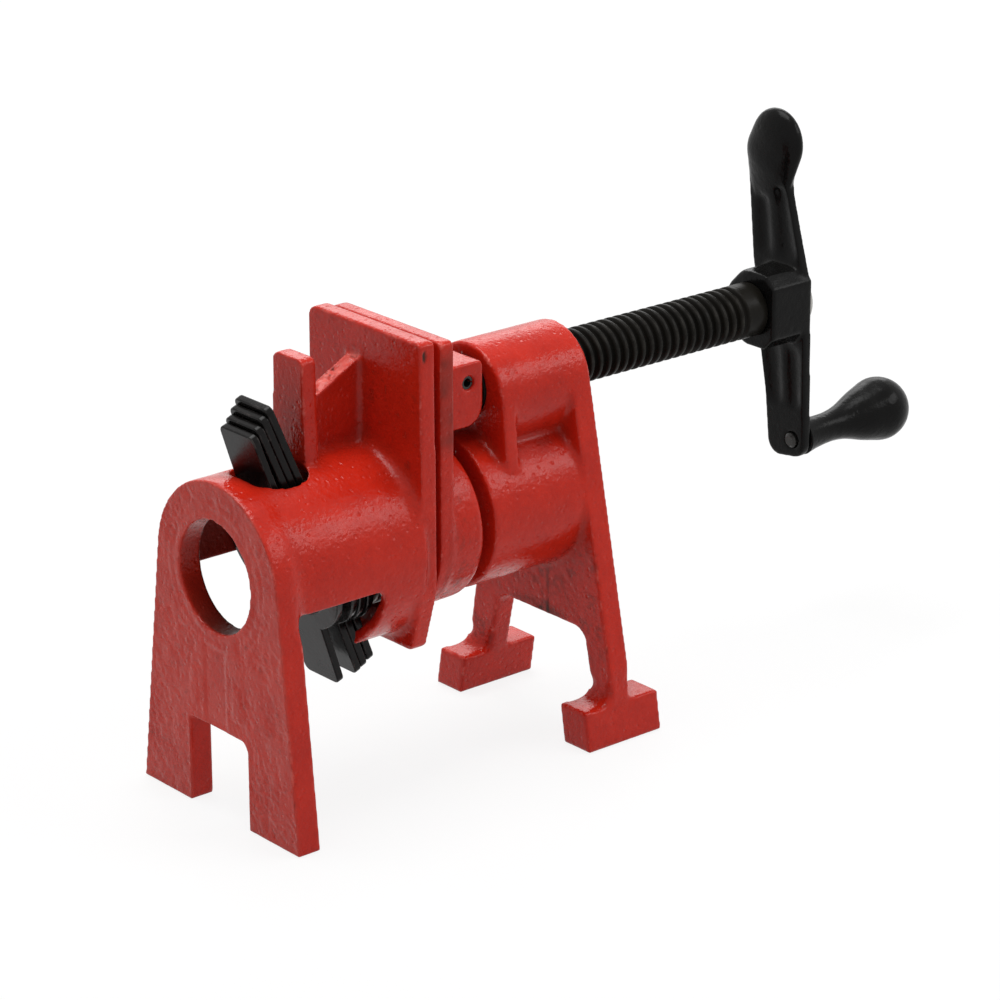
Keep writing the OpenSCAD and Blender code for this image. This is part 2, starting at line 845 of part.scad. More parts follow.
// Puts a shape that stands on Z onto the knob's pin, starting at the arm's front face
module on_knob_axis() {
    translate([arm_x, knob_y, knob_z])
        rotate([0, 90 - knob_tilt, 0])
            children();
}

knob_start = arm_t + 0.4;
// The pin's head sits in a round recess in the flat at the ball's end
cap_depth = 2.6;
cap_r = 3.2;
flat_r = cap_r + 0.7;
knob_end = ball_reach + sqrt(pow(ball_r, 2) - pow(flat_r, 2));

module knob_pin() {
    cap_h = 1.6;
    dome = 0.5;
    color(bright_steel)
        on_knob_axis()
            union() {
                translate([0, 0, -0.3])
                    cylinder(h = knob_end - cap_depth + 0.8, r = pin_r);
                translate([0, 0, -0.3])
                    rotate_extrude()
                        polygon([[0, -dome], [pin_r - 0.6, -dome], [pin_r, 0], [0, 0]]);
                translate([0, 0, knob_end - cap_depth + 0.3])
                    cylinder(h = cap_h, r = cap_r - 0.4);
            }
}

// Radius of the neck at a share t of its length: slim at first, then swelling into the ball
function neck_at(t, join_r) = neck_r + (join_r - neck_r) * pow(t * t * (3 - 2 * t), 1.6);

// The knob's outline: a short flare at the crank, the slim neck that swells, and the ball
module knob_outline() {
    flare = 0.9;
    slim_at = 12.4;
    join = 62;
    join_r = ball_r * sin(join);
    join_at = ball_reach - ball_r * cos(join);
    steps = 12;
    flare_part = [for (i = [0 : 3])
        let (t = i / 3)
        [neck_r + flare * pow(1 - t, 2), knob_start + (slim_at - knob_start) * t]];
    neck_part = [for (i = [1 : steps - 1])
        let (t = i / steps)
        [neck_at(t, join_r), slim_at + (join_at - slim_at) * t]];
    arc_end = 180 - asin(flat_r / ball_r);
    ball_part = [for (i = [0 : 2 * steps])
        let (a = join + (arc_end - join) * i / (2 * steps))
        [ball_r * sin(a), ball_reach - ball_r * cos(a)]];
    polygon(concat([[0, knob_start]], flare_part, neck_part, ball_part, [[0, knob_end]]));
}

module crank_knob() {
    color(black_paint)
        on_knob_axis()
            difference() {
                rotate_extrude()
                    knob_outline();
                cylinder(h = far, r = pin_r + run_gap);
                translate([0, 0, knob_end - cap_depth])
                    cylinder(h = cap_depth + 1, r = cap_r);
            }
}

tail_jaw();
clutch_plate(0);  // clutch_plate_1
clutch_plate(1);  // clutch_plate_2
clutch_plate(2);  // clutch_plate_3
clutch_plate(3);  // clutch_plate_4
clutch_spring();
movable_jaw();
screw_pin();
head();
clamp_screw();
crank_handle();
crank_washer();
crank_screw();
knob_pin();
crank_knob();
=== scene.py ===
# %% [markdown]
# # A pipe clamp in red enamel and black steel
# The object is a woodworker's pipe clamp, without its pipe: a sliding tail jaw that locks with
# four leaning plates, a front jaw driven by a screw, and a fixed head with a crank.
# It could be modelled from nothing, but its sizes would drift. So the measured model is loaded
# first as a fixed frame, and every piece below takes its place and its size from it.

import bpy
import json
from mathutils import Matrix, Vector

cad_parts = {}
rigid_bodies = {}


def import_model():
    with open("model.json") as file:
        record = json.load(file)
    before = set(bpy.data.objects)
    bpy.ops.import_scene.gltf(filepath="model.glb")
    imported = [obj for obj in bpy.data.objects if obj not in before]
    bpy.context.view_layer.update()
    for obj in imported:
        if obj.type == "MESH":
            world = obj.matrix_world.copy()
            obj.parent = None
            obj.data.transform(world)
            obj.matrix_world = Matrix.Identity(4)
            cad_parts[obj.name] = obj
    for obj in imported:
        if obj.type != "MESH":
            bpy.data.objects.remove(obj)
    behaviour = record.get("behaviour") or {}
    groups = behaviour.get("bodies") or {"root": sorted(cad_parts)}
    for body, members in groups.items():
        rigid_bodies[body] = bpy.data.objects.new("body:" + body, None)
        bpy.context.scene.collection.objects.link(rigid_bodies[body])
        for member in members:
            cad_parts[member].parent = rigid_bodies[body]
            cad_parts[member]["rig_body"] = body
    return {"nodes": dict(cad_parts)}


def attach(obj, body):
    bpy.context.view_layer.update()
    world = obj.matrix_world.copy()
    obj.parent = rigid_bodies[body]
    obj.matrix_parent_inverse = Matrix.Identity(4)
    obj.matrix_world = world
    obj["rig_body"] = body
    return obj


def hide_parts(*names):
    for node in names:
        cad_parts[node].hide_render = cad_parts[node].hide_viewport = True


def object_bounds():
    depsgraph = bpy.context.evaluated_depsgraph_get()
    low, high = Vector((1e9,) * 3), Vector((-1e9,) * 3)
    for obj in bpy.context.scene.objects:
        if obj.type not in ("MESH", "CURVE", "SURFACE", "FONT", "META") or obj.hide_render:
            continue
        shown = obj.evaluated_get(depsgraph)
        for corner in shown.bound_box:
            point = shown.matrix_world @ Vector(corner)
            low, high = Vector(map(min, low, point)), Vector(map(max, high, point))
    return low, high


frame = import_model()
measured_box = [list(map(float, corner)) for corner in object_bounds()]
print("measured box:", [[round(v, 4) for v in corner] for corner in measured_box])

# %% [markdown]
# ## Tools and units
# Two tools do the shaping: bmesh edits the edges and faces of a mesh, and numpy moves thousands
# of points at once. Blender works in metres and a maker's drawing in millimetres, so lengths are
# written in millimetres here and multiplied by MM where a mesh is made.

# %% Import the tools
import json
import math

import bmesh
import bpy
import numpy as np
from mathutils import Matrix, Vector

MM = 0.001
size_mm = [round((high - low) / MM, 1) for low, high in zip(*measured_box)]
print("the clamp measures", size_mm, "mm")

# %% [markdown]
# ## Camera
# The photograph looks down a little on the clamp, from beyond the tail jaw and with a long lens.
# A camera could be turned by hand until the view looks right. Here its place and its lens come
# from matching the measured model's corners with the photograph, which holds for every piece.
# A camera looks along its own -Z, so the direction back to it is turned into a rotation.

# %% Place the camera
turn, rise = math.radians(-40.29), math.radians(20.36)
camera_data = bpy.data.cameras.new("photo_view")
camera_data.sensor_width = 36
camera_data.lens = 134.196
camera = bpy.data.objects.new("photo_view", camera_data)
camera.location = (-0.47416, -0.66313, 0.38212)
towards_camera = Vector((math.sin(turn) * math.cos(rise), -math.cos(turn) * math.cos(rise),
                         math.sin(rise)))
camera.rotation_euler = (-towards_camera).to_track_quat("-Z", "Y").to_euler()
bpy.context.scene.collection.objects.link(camera)
bpy.context.scene.camera = camera
bpy.context.scene.view_settings.view_transform = "Standard"
print("camera at", tuple(round(v, 3) for v in camera.location))

# %% [markdown]
# ## Node trees in a few words
# Each finish is a tree of shader nodes. It could be drawn by hand in the editor, but then it
# can't be read here. One helper makes a node, sets its options, and fills its sockets with plain
# values or with links, so that a tree reads from top to bottom.

# %% A helper for one node
def fill_socket(tree, socket, value):
    if isinstance(value, bpy.types.NodeSocket):
        tree.links.new(value, socket)
    else:
        socket.default_value = value


def node(tree, kind, values=None, **options):
    made = tree.nodes.new(kind)
    for option, value in options.items():
        setattr(made, option, value)
    for socket, value in (values or {}).items():
        fill_socket(tree, made.inputs[socket], value)
    return made


print("node helper ready")

# %% [markdown]
# ## The nodes that are used most
# Arithmetic, a mix of two colours, a change of range and noise come back in every finish, so
# each gets a short name. The noise is read in the object's own space: it needs no unwrapping,
# keeps its size in millimetres on every piece, and stays on the piece when the piece moves.

# %% Short names for common nodes
def maths(tree, operation, first, second=0.0, clamp=False):
    made = node(tree, "ShaderNodeMath", {0: first, 1: second}, operation=operation, use_clamp=clamp)
    return made.outputs[0]


def blended(tree, share, first, second):
    mix = node(tree, "ShaderNodeMix", {"Factor": share}, data_type="RGBA")
    colour_a, colour_b, colour_out = mix.inputs[6], mix.inputs[7], mix.outputs[2]
    fill_socket(tree, colour_a, first)
    fill_socket(tree, colour_b, second)
    return colour_out


def ramp(tree, value, low, high, out_low=0.0, out_high=1.0):
    made = node(tree, "ShaderNodeMapRange", {"Value": value, "From Min": low, "From Max": high,
                                             "To Min": out_low, "To Max": out_high})
    return made.outputs["Result"]


def noise(tree, scale, detail=2.0, roughness=0.5):
    place = node(tree, "ShaderNodeTexCoord").outputs["Object"]
    return node(tree, "ShaderNodeTexNoise", {"Vector": place, "Scale": scale, "Detail": detail,
                                             "Roughness": roughness}).outputs["Fac"]


def stored_value(tree, label):
    return node(tree, "ShaderNodeAttribute", attribute_name=label).outputs["Fac"]


print("short names ready")

# %% [markdown]
# ## Effects that several finishes share
# Paint pools and thins, castings show the sand they were poured in, paint rubs off edges, and
# grease settles in corners, which are also darkened as painted shade. Each of these could be
# repeated in every material, but then a change has to be made six times. So each is a node group
# with named sockets, built once, that puts out one colour or one value. A helper starts a group
# and hands back its inputs and outputs.

# %% A helper that starts a group
def start_group(name, inputs, output, output_kind="Float"):
    group = bpy.data.node_groups.new(name, "ShaderNodeTree")
    for label, kind, value in inputs:
        socket = group.interface.new_socket(label, in_out="INPUT",
                                            socket_type="NodeSocket" + kind)
        socket.default_value = value
    group.interface.new_socket(output, in_out="OUTPUT", socket_type="NodeSocket" + output_kind)
    given = group.nodes.new("NodeGroupInput").outputs
    result = group.nodes.new("NodeGroupOutput").inputs[output]
    return group, given, result


print("group helper ready")

# %% [markdown]
# ## Paint that varies in depth
# The castings are dipped, so their paint is thicker and darker in some places than in others. A
# painted picture could show that, but it would have to be fitted to every piece. Two noises, one
# broad and one fine, choose between a thin and a thick colour instead.

# %% Make the paint group
paint_depth, given, result = start_group(
    "paint_depth",
    [("Paint", "Color", (0.5, 0.02, 0.01, 1)), ("Thick paint", "Color", (0.3, 0.01, 0.01, 1)),
     ("Variation", "Float", 0.5)], "Color", "Color")
broad_share, fine_share = 0.65, 0.35
broad = ramp(paint_depth, noise(paint_depth, 60, 3, 0.6), 0.35, 0.7)
fine = ramp(paint_depth, noise(paint_depth, 420, 2, 0.6), 0.35, 0.7)
both = maths(paint_depth, "ADD", maths(paint_depth, "MULTIPLY", broad, broad_share),
             maths(paint_depth, "MULTIPLY", fine, fine_share))
thickness = maths(paint_depth, "MULTIPLY", both, given["Variation"], clamp=True)
paint_depth.links.new(blended(paint_depth, thickness, given["Paint"], given["Thick paint"]), result)
print("group:", paint_depth.name)

# %% [markdown]
# ## The skin of a sand casting
# Sand leaves a fine grain and a few pits, and the paint softens both. Modelling them would take
# millions of faces, so this finest size is left to bump: a noise for the grain, from which the
# middles of Voronoi cells are taken away as pits. The lumps that are larger are real shape.

# %% Make the casting skin group
casting_skin, given, result = start_group(
    "casting_skin", [("Grain", "Float", 700.0), ("Pits", "Float", 0.4)], "Height")
pit_spacing, pit_edge = 0.55, 0.28
place = node(casting_skin, "ShaderNodeTexCoord").outputs["Object"]
peel = node(casting_skin, "ShaderNodeTexNoise",
            {"Vector": place, "Scale": given["Grain"], "Detail": 3.0,
             "Roughness": 0.55}).outputs["Fac"]
pit_scale = maths(casting_skin, "MULTIPLY", given["Grain"], pit_spacing)
from_pit = node(casting_skin, "ShaderNodeTexVoronoi",
                {"Vector": place, "Scale": pit_scale}).outputs["Distance"]
pit = maths(casting_skin, "MULTIPLY", ramp(casting_skin, from_pit, pit_edge, 0.0), given["Pits"])
casting_skin.links.new(maths(casting_skin, "SUBTRACT", peel, pit), result)
print("group:", casting_skin.name)

# %% [markdown]
# ## Wear along edges
# Paint rubs off where the clamp is knocked and handled, in patches and never along a whole edge.
# Blender can find edges in a shader, but only while it renders, and an exported model loses
# that. So the edges are measured on the mesh, stored as the value "edge", and read back here.

# %% Make the wear group
edge_wear, given, result = start_group("edge_wear", [("Wear", "Float", 0.5)], "Mask")
least_patch = 0.08
patches = ramp(edge_wear, noise(edge_wear, 230, 5, 0.7), 0.42, 0.72)
rubbed = maths(edge_wear, "MULTIPLY", stored_value(edge_wear, "edge"),
               maths(edge_wear, "ADD", patches, least_patch))
worn = ramp(edge_wear, maths(edge_wear, "MULTIPLY", rubbed, given["Wear"]), 0.18, 0.6)
edge_wear.links.new(worn, result)
print("group:", edge_wear.name)

# %% [markdown]
# ## Grime and painted shade in corners
# Grease and dust collect where two walls meet, and the same darkening stands in for the shade
# that falls there, as painted shade. The stored value "hollow" says how deep in a corner a point
# lies, for the same reason as above, and a noise breaks it into clouds.

# %% Make the grime and painted shade group
corner_grime_and_shade, given, result = start_group("corner_grime_and_shade", [("Amount", "Float", 0.5)], "Mask")
least_cloud = 0.3
clouds = ramp(corner_grime_and_shade, noise(corner_grime_and_shade, 150, 4, 0.6), 0.3, 0.7)
corner_darkening = maths(corner_grime_and_shade, "MULTIPLY", stored_value(corner_grime_and_shade, "hollow"),
                maths(corner_grime_and_shade, "ADD", clouds, least_cloud))
corner_grime_and_shade.links.new(maths(corner_grime_and_shade, "MULTIPLY", corner_darkening, given["Amount"], clamp=True),
                       result)
print("group:", corner_grime_and_shade.name)

# %% [markdown]
# ## Gloss that isn't even
# No painted or blackened surface is equally smooth all over, and one flat roughness looks like
# plastic. A noise between a smooth and a dull value breaks up the reflections of the lamps.

# %% Make the gloss group
uneven_gloss, given, result = start_group(
    "uneven_gloss", [("Smooth", "Float", 0.2), ("Dull", "Float", 0.4)], "Roughness")
patchy = ramp(uneven_gloss, noise(uneven_gloss, 180, 3, 0.6), 0.3, 0.7,
              given["Smooth"], given["Dull"])
uneven_gloss.links.new(patchy, result)
print("group:", uneven_gloss.name)

# %% [markdown]
# ## One recipe for paint and metal
# All the finishes are layers in the same order: paint or metal, ground patches (with a painted
# sheen on one face), worn edges, grime with painted shade in corners, and a bump for the skin.
# Six trees could be built by hand, but only their numbers differ, so one function builds them.
# Each material keeps its own Principled shader, and values that don't vary over the surface are
# set on its own sockets.

# %% The recipe
GRIME_DULLS, WEAR_DULLS = 0.3, 0.1


def layered(name, paint, thick, worn, grime_and_shade, wear, dirt_and_shade, variation, rough, grain, pits, bump,
            specular, metallic=0.0, marks=False):
    material = bpy.data.materials.new(name)
    material.use_nodes = True
    tree = material.node_tree
    tree.nodes.clear()

    def group(which, values):
        return node(tree, "ShaderNodeGroup", values, node_tree=which).outputs[0]

    colour = group(paint_depth, {"Paint": (*paint, 1), "Thick paint": (*thick, 1),
                                 "Variation": variation})
    if marks:
        # Ground patches, which on the tail jaw's leg plate front are also a painted sheen.
        ground_and_sheen = stored_value(tree, "ground_and_sheen")
        colour = blended(tree, ground_and_sheen, colour, (*worn, 1))
    worn_mask = group(edge_wear, {"Wear": wear})
    colour = blended(tree, worn_mask, colour, (*worn, 1))
    # Darkens corners: grime, and painted shade where shade falls.
    grime_and_shade_mask = group(corner_grime_and_shade, {"Amount": dirt_and_shade})
    colour = blended(tree, grime_and_shade_mask, colour, (*grime_and_shade, 1))
    if marks:
        # Stored stains, which also hold painted shade inside the tail jaw's barrel and under the
        # head's boss.
        stain_and_shade = stored_value(tree, "stain_and_shade")
        colour = blended(tree, stain_and_shade, colour, (*grime_and_shade, 1))
        grime_and_shade_mask = maths(tree, "MAXIMUM", grime_and_shade_mask, stain_and_shade)
        worn_mask = maths(tree, "MAXIMUM", worn_mask, ground_and_sheen)
    dull = group(uneven_gloss, {"Smooth": rough[0], "Dull": rough[1]})
    for mask, amount in ((grime_and_shade_mask, GRIME_DULLS), (worn_mask, WEAR_DULLS)):
        dull = maths(tree, "ADD", dull, maths(tree, "MULTIPLY", mask, amount), clamp=True)
    height = group(casting_skin, {"Grain": grain, "Pits": pits})
    relief = node(tree, "ShaderNodeBump", {"Height": height, "Strength": 1.0,
                                           "Distance": bump * MM})
    shader = node(tree, "ShaderNodeBsdfPrincipled", {
        "Base Color": colour, "Roughness": dull, "Normal": relief.outputs["Normal"],
        "Specular IOR Level": specular, "Metallic": metallic})
    node(tree, "ShaderNodeOutputMaterial", {"Surface": shader.outputs["BSDF"]})
    return material


print("recipe ready")

# %% [markdown]
# ## Red enamel
# The three large castings are dipped in one glossy red enamel. It could be a clear coat over a
# coloured base, but enamel is one thick paint, so one layer is enough, and a low specular level
# keeps its red deep. Only this finish shows ground patches and stains, because only these
# castings have them. The same stored values also carry a painted sheen on the tail jaw's leg
# plate and painted shade inside its barrel and under the head's boss.

# %% Mix the enamel
red_enamel = layered(
    "red_enamel", paint=(0.57, 0.021, 0.008), thick=(0.36, 0.010, 0.005), worn=(0.78, 0.17, 0.14),
    grime_and_shade=(0.050, 0.016, 0.010), wear=0.5, dirt_and_shade=0.6, variation=0.6, rough=(0.15, 0.27),
    grain=820, pits=0.8, bump=0.16, specular=0.19, marks=True)
print("mixed", red_enamel.name)

# %% [markdown]
# ## Blacks
# The crank and the knob are painted black, the locking plates have a thinner black with rubbed
# rims, and the screw is blackened steel with oil in its thread. All are a little lighter than
# pure black, with a low specular level, so that their forms still show on a white ground.

# %% Mix the blacks
cast_black = layered(
    "cast_black", paint=(0.0052, 0.0050, 0.0048), thick=(0.0030, 0.0030, 0.0030),
    worn=(0.016, 0.015, 0.014), grime_and_shade=(0.010, 0.008, 0.006), wear=0.12, dirt_and_shade=0.3, variation=0.6,
    rough=(0.16, 0.30), grain=640, pits=0.5, bump=0.10, specular=0.085)
plate_black = layered(
    "plate_black", paint=(0.0060, 0.0050, 0.0048), thick=(0.0035, 0.0030, 0.0028),
    worn=(0.045, 0.038, 0.036), grime_and_shade=(0.010, 0.007, 0.005), wear=0.8, dirt_and_shade=0.3, variation=0.6,
    rough=(0.16, 0.28), grain=900, pits=0.3, bump=0.03, specular=0.13)
blackened_steel = layered(
    "blackened_steel", paint=(0.0060, 0.0055, 0.0045), thick=(0.010, 0.0085, 0.0065),
    worn=(0.022, 0.020, 0.017), grime_and_shade=(0.0025, 0.0020, 0.0016), wear=0.8, dirt_and_shade=0.9,
    variation=0.7, rough=(0.30, 0.46), grain=1100, pits=0.3, bump=0.02, specular=0.07)
print("mixed", cast_black.name, plate_black.name, blackened_steel.name)

# %% [markdown]
# ## Bare metal
# The spring, the washer and the screw behind the hub are plain steel, and the two pins are
# darker. They aren't fully metallic: a thin film of oil and dust scatters some of the light.

# %% Mix the metals
bright_steel = layered(
    "bright_steel", paint=(0.42, 0.41, 0.39), thick=(0.30, 0.29, 0.27), worn=(0.6, 0.59, 0.57),
    grime_and_shade=(0.10, 0.08, 0.06), wear=0.5, dirt_and_shade=0.5, variation=0.6, rough=(0.30, 0.42),
    grain=1500, pits=0.15, bump=0.008, specular=0.5, metallic=0.85)
dark_pin = layered(
    "dark_pin", paint=(0.045, 0.044, 0.042), thick=(0.020, 0.019, 0.018), worn=(0.2, 0.2, 0.19),
    grime_and_shade=(0.010, 0.008, 0.006), wear=0.5, dirt_and_shade=0.5, variation=0.8, rough=(0.22, 0.36),
    grain=1300, pits=0.2, bump=0.015, specular=0.3, metallic=0.5)
print("mixed", bright_steel.name, dark_pin.name)

# %% [markdown]
# ## How a piece joins the model
# Every new piece stands for one measured node. It rides on the same moving body, so that the
# clamp still works, it hides that node, and it takes its finish. One helper does all three,
# because a piece that misses one of them stays behind or shows twice.


def join_model(piece, measured, finish):
    bpy.context.scene.collection.objects.link(piece)
    piece.data.materials.clear()
    piece.data.materials.append(finish)
    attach(piece, frame["nodes"][measured]["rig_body"])
    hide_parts(measured)
    print(piece.name, "has", len(piece.data.polygons), "faces")


# %% [markdown]
# ## Castings, step one: rebuild the shape from cells
# A sand casting has no sharp edge. A bevel can't follow all the places where walls, ribs and
# holes meet, so the measured shape is first rebuilt from small cells of equal size. A modifier
# on a copy does that, and the measured mesh itself is never touched.

# %% Rebuild a shape from cells
def cell_mesh(measured, cell):
    source = bpy.data.objects.new("source", frame["nodes"][measured].data.copy())
    bpy.context.scene.collection.objects.link(source)
    cells = source.modifiers.new("cells", "REMESH")
    cells.mode = "VOXEL"
    cells.voxel_size = cell * MM
    bpy.context.view_layer.update()
    evaluated = source.evaluated_get(bpy.context.evaluated_depsgraph_get())
    mesh = bpy.data.meshes.new_from_object(evaluated)
    bpy.data.objects.remove(source)
    return mesh


print("cells ready")

# %% [markdown]
# ## Step two: hand the mesh to numpy and back
# A casting has forty to a hundred and thirty thousand vertices. A loop over them in Python is
# slow, so their places, normals and edges are copied into arrays and back in one call each.

# %% Points, normals and edges as arrays
def points_of(mesh):
    flat = np.zeros(len(mesh.vertices) * 3)
    mesh.vertices.foreach_get("co", flat)
    return flat.reshape(-1, 3)


def normals_of(mesh):
    flat = np.zeros(len(mesh.vertices) * 3, np.float32)
    mesh.vertex_normals.foreach_get("vector", flat)
    return flat.reshape(-1, 3).astype(float)


def edges_of(mesh):
    flat = np.zeros(len(mesh.edges) * 2, np.int32)
    mesh.edges.foreach_get("vertices", flat)
    return flat.reshape(-1, 2)


def move_points(mesh, points):
    mesh.vertices.foreach_set("co", points.ravel())
    mesh.update()


def store_values(mesh, label, values, domain="POINT"):
    layer = mesh.attributes.new(label, "FLOAT", domain)
    layer.data.foreach_set("value", values.astype(np.float32))


print("arrays ready")

# %% [markdown]
# ## Step three: relax
# Each round pulls every point part of the way to the middle of its neighbours. That rounds outer
# edges and fills inner corners, as the pattern maker's fillets do, and hardly moves a flat or a
# wide bore. How far a point would sink in more rounds tells what it is: an edge sinks, a corner
# rises, and a flat stays. The second function measures that along the normals.

# %% Relax a shape, and measure how it sinks
def relaxed(points, edges, rounds, pull=0.5):
    first, second = edges[:, 0], edges[:, 1]
    count = np.bincount(edges.ravel(), minlength=len(points))[:, None]
    for _ in range(rounds):
        total = np.stack([np.bincount(first, points[second, k], len(points))
                          + np.bincount(second, points[first, k], len(points))
                          for k in range(3)], axis=1)
        points = points + pull * (total / count - points)
    return points


def sinking(points, edges, normals, rounds):
    return np.sum((relaxed(points, edges, rounds) - points) * normals, axis=1) / MM


print("relaxing ready")

# %% [markdown]
# ## Step four: lumps that look cast
# The surface of the real castings is uneven in lumps of one to a few millimetres. Blender's own
# noise could move the points, but a grid of random heights, blended smoothly between its
# corners, is quicker for this many points and is the same on every run because it is seeded.

# %% Lumps, the same on every run
def lumps(points, size, seed):
    cell = points / (size * MM)
    cell = cell - np.floor(cell.min(axis=0))
    corner = np.floor(cell).astype(int)
    part = cell - corner
    part = part * part * (3 - 2 * part)
    heights = np.random.default_rng(seed).random(corner.max(axis=0) + 2)
    total = np.zeros(len(points))
    for step in np.ndindex(2, 2, 2):
        weight = np.prod(np.where(step, part, 1 - part), axis=1)
        total += weight * heights[tuple((corner + step).T)]
    return total


def spots(points, size, seed, gain, start):
    return np.clip(lumps(points, size, seed) * gain - start, 0, 1)


print("lumps ready")

# %% [markdown]
# ## Step five: say where a mark lies
# A chip, a stain or a ground patch lies in one place, which is easiest to say with limits along
# the axes or with a round blob. All of these are masks from 0 to 1 with soft ends, so that they
# can be multiplied together. The barrels and the socket are round about the pipe's axis, so the
# distance from that axis comes back in several of them.

# %% Masks with soft ends
PIPE_Z = 61.2


def rising(value, start, soft):
    return np.clip((value - start) / soft, 0, 1)


def falling(value, end, soft):
    return np.clip((end - value) / soft, 0, 1)


def near(value, low, high, soft):
    return rising(value, low, soft) * falling(value, high, soft)


def blob(points, centre, radius, power=2.0):
    away = np.linalg.norm((points / MM - np.array(centre)) / np.array(radius), axis=1)
    return np.clip(1.4 * (1 - away ** power), 0, 1)


def from_pipe_axis(y, z):
    return np.hypot(y, z - PIPE_Z)


print("masks ready, with the pipe's axis at", PIPE_Z, "mm")

# %% [markdown]
# ## Step six: make one casting
# The steps come together. After the first rounds, the inner corners are found twice and relaxed
# further, because a foundry's fillets are larger than its outer radii. Then the skin's lumps and
# the piece's own marks are pressed in along the normals, never outwards, so that the piece stays
# inside the measured one. The four values for wear, grime with painted shade, ground patches
# with a painted sheen, and stains with painted shade are stored last.

# %% Make one casting
FILLET_PASSES, PROBE_ROUNDS, SPREAD_ROUNDS, FILLET_ROUNDS = 2, 14, 6, 16
BLEND_ROUNDS, WEAR_ROUNDS = 60, 22
FULL_CORNER, FULL_WEAR = 0.10, 0.35


def filled_corners(mesh, points, edges):
    move_points(mesh, points)
    corner = np.clip(sinking(points, edges, normals_of(mesh), PROBE_ROUNDS) / FULL_CORNER, 0, 1)
    corner = relaxed(np.repeat(corner[:, None], 3, axis=1), edges, SPREAD_ROUNDS)[:, :1]
    return relaxed(points, edges, FILLET_ROUNDS, pull=0.5 * corner)


def casting(name, measured, finish, cell, rounds, skin, seed, marks=None, blend=None, flush=None):
    mesh = cell_mesh(measured, cell)
    edges = edges_of(mesh)
    points = flush(points_of(mesh)) if flush else points_of(mesh)
    points = relaxed(points, edges, rounds)
    for _ in range(FILLET_PASSES):
        points = filled_corners(mesh, points, edges)
    if blend:
        points = relaxed(points, edges, BLEND_ROUNDS, pull=0.5 * blend(points)[:, None])
    move_points(mesh, points)
    normals = normals_of(mesh)
    sunk = sinking(points, edges, normals, WEAR_ROUNDS)
    stored = {"edge": np.clip(-sunk / FULL_WEAR, 0, 1), "hollow": np.clip(sunk / FULL_WEAR, 0, 1),
              "ground_and_sheen": np.zeros(len(points)), "stain_and_shade": np.zeros(len(points))}
    depth = skin * (0.6 * lumps(points, 1.3, seed) + 0.4 * lumps(points, 3.1, seed + 1))
    if marks:
        depth = depth + marks(points, normals, stored)
    move_points(mesh, points - normals * (np.maximum(depth, 0) * MM)[:, None])
    for label, values in stored.items():
        store_values(mesh, label, values)
    mesh.shade_smooth()
    join_model(bpy.data.objects.new(name, mesh), measured, finish)


thick_wall = {"finish": red_enamel, "cell": 0.45, "rounds": 4, "skin": 0.045}
print("casting ready, with cells of", thick_wall["cell"], "mm")

# %% [markdown]
# ## Tail jaw: where its marks lie
# The leg plate's front is the roughest face of the clamp: it shows the grain of the sand, a
# shallow band down its middle, a few ridges beside it, and faint turning rings round the hole.
# The rib's slope and one corner of the thumb tab are ground and look lighter. The jaw plate has
# a chip on one edge. The places were judged from the photograph and are listed first, in
# millimetres, so that the next cells read in words.

# %% List the places: low end, high end and softness
BAND_Y, BAND_Z = (-3.8, 5.4, 0.9), (22, 44, 2)
RINGS_R, RINGS_CLOSENESS = (15, 20, 1), 2.4
RIDGES_Z, LEFT_RIDGE_Y, RIGHT_RIDGE_Y = (26, 36, 1.5), (7.6, 11, 1), (-9.6, -5.6, 1)
SLOPE_X, SLOPE_Z, SLOPE_MIDDLE_Y, SLOPE_HALF = (31, 47, 1.5), (98.8, 108.4, 1), 3.3, 2.6
BARREL_X, BARREL_R, BORE_X, BORE_R = (5.8, 46.5, 0.8), 21.9, (0.5, 7.5, 0.5), 14.9
LIP_X, LIP_TOP, PLATE_BACK_X = (29.5, 32.5, 0.6), 54, (44.6, 46.5, 0.4)
TAB_CORNER, TAB_CORNER_SIZE = (26.3, -4.6, 110.0), (2.6, 1.4, 1.1)
CHIP, CHIP_SIZE = (46.9, -20.9, 110.8), (0.8, 0.8, 2.0)


def tail_places(points, normals):
    x, y, z = (points / MM).T
    radius = from_pipe_axis(y, z)
    front = falling(x, 1.2, 0.6) * np.clip(-normals[:, 0] * 2, 0, 1)
    slope = near(x, *SLOPE_X) * near(z, *SLOPE_Z) * np.clip(normals[:, 2] * 2 - 0.4, 0, 1)
    slope = slope * np.clip(1.6 - np.abs(y - SLOPE_MIDDLE_Y) / SLOPE_HALF, 0, 1)
    ridges = near(z, *RIDGES_Z) * (near(y, *LEFT_RIDGE_Y) + near(y, *RIGHT_RIDGE_Y))
    return {"front": front, "slope": slope, "ridges": front * ridges,
            "band": front * near(y, *BAND_Y) * near(z, *BAND_Z),
            "rings": front * near(radius, *RINGS_R) * (1 + np.sin(radius * RINGS_CLOSENESS)),
            "barrel": falling(radius, BARREL_R, 0.5) * near(x, *BARREL_X),
            "bore": falling(radius, BORE_R, 0.5) * near(x, *BORE_X),
            "lip": near(x, *LIP_X) * falling(z, LIP_TOP, 10),
            "plate_back": near(x, *PLATE_BACK_X) * np.clip(-normals[:, 0], 0, 1),
            "tab_corner": blob(points, TAB_CORNER, TAB_CORNER_SIZE),
            "chip": blob(points, CHIP, CHIP_SIZE, 4)}


print("the chip is at", CHIP)

# %% [markdown]
# ## Tail jaw: colour and relief
# Ground iron under thin paint looks lighter, and the holes in it hold dirt. The front of the leg
# plate is lightened a little as a painted sheen. The inside of the barrel is darkened as painted
# shade, most of all in the bore low down and on one side. A picture of all this would need
# unwrapping, and values stored on the points don't. The relief is a depth in millimetres: positive
# numbers press the surface in, and the ridges are what is left standing.

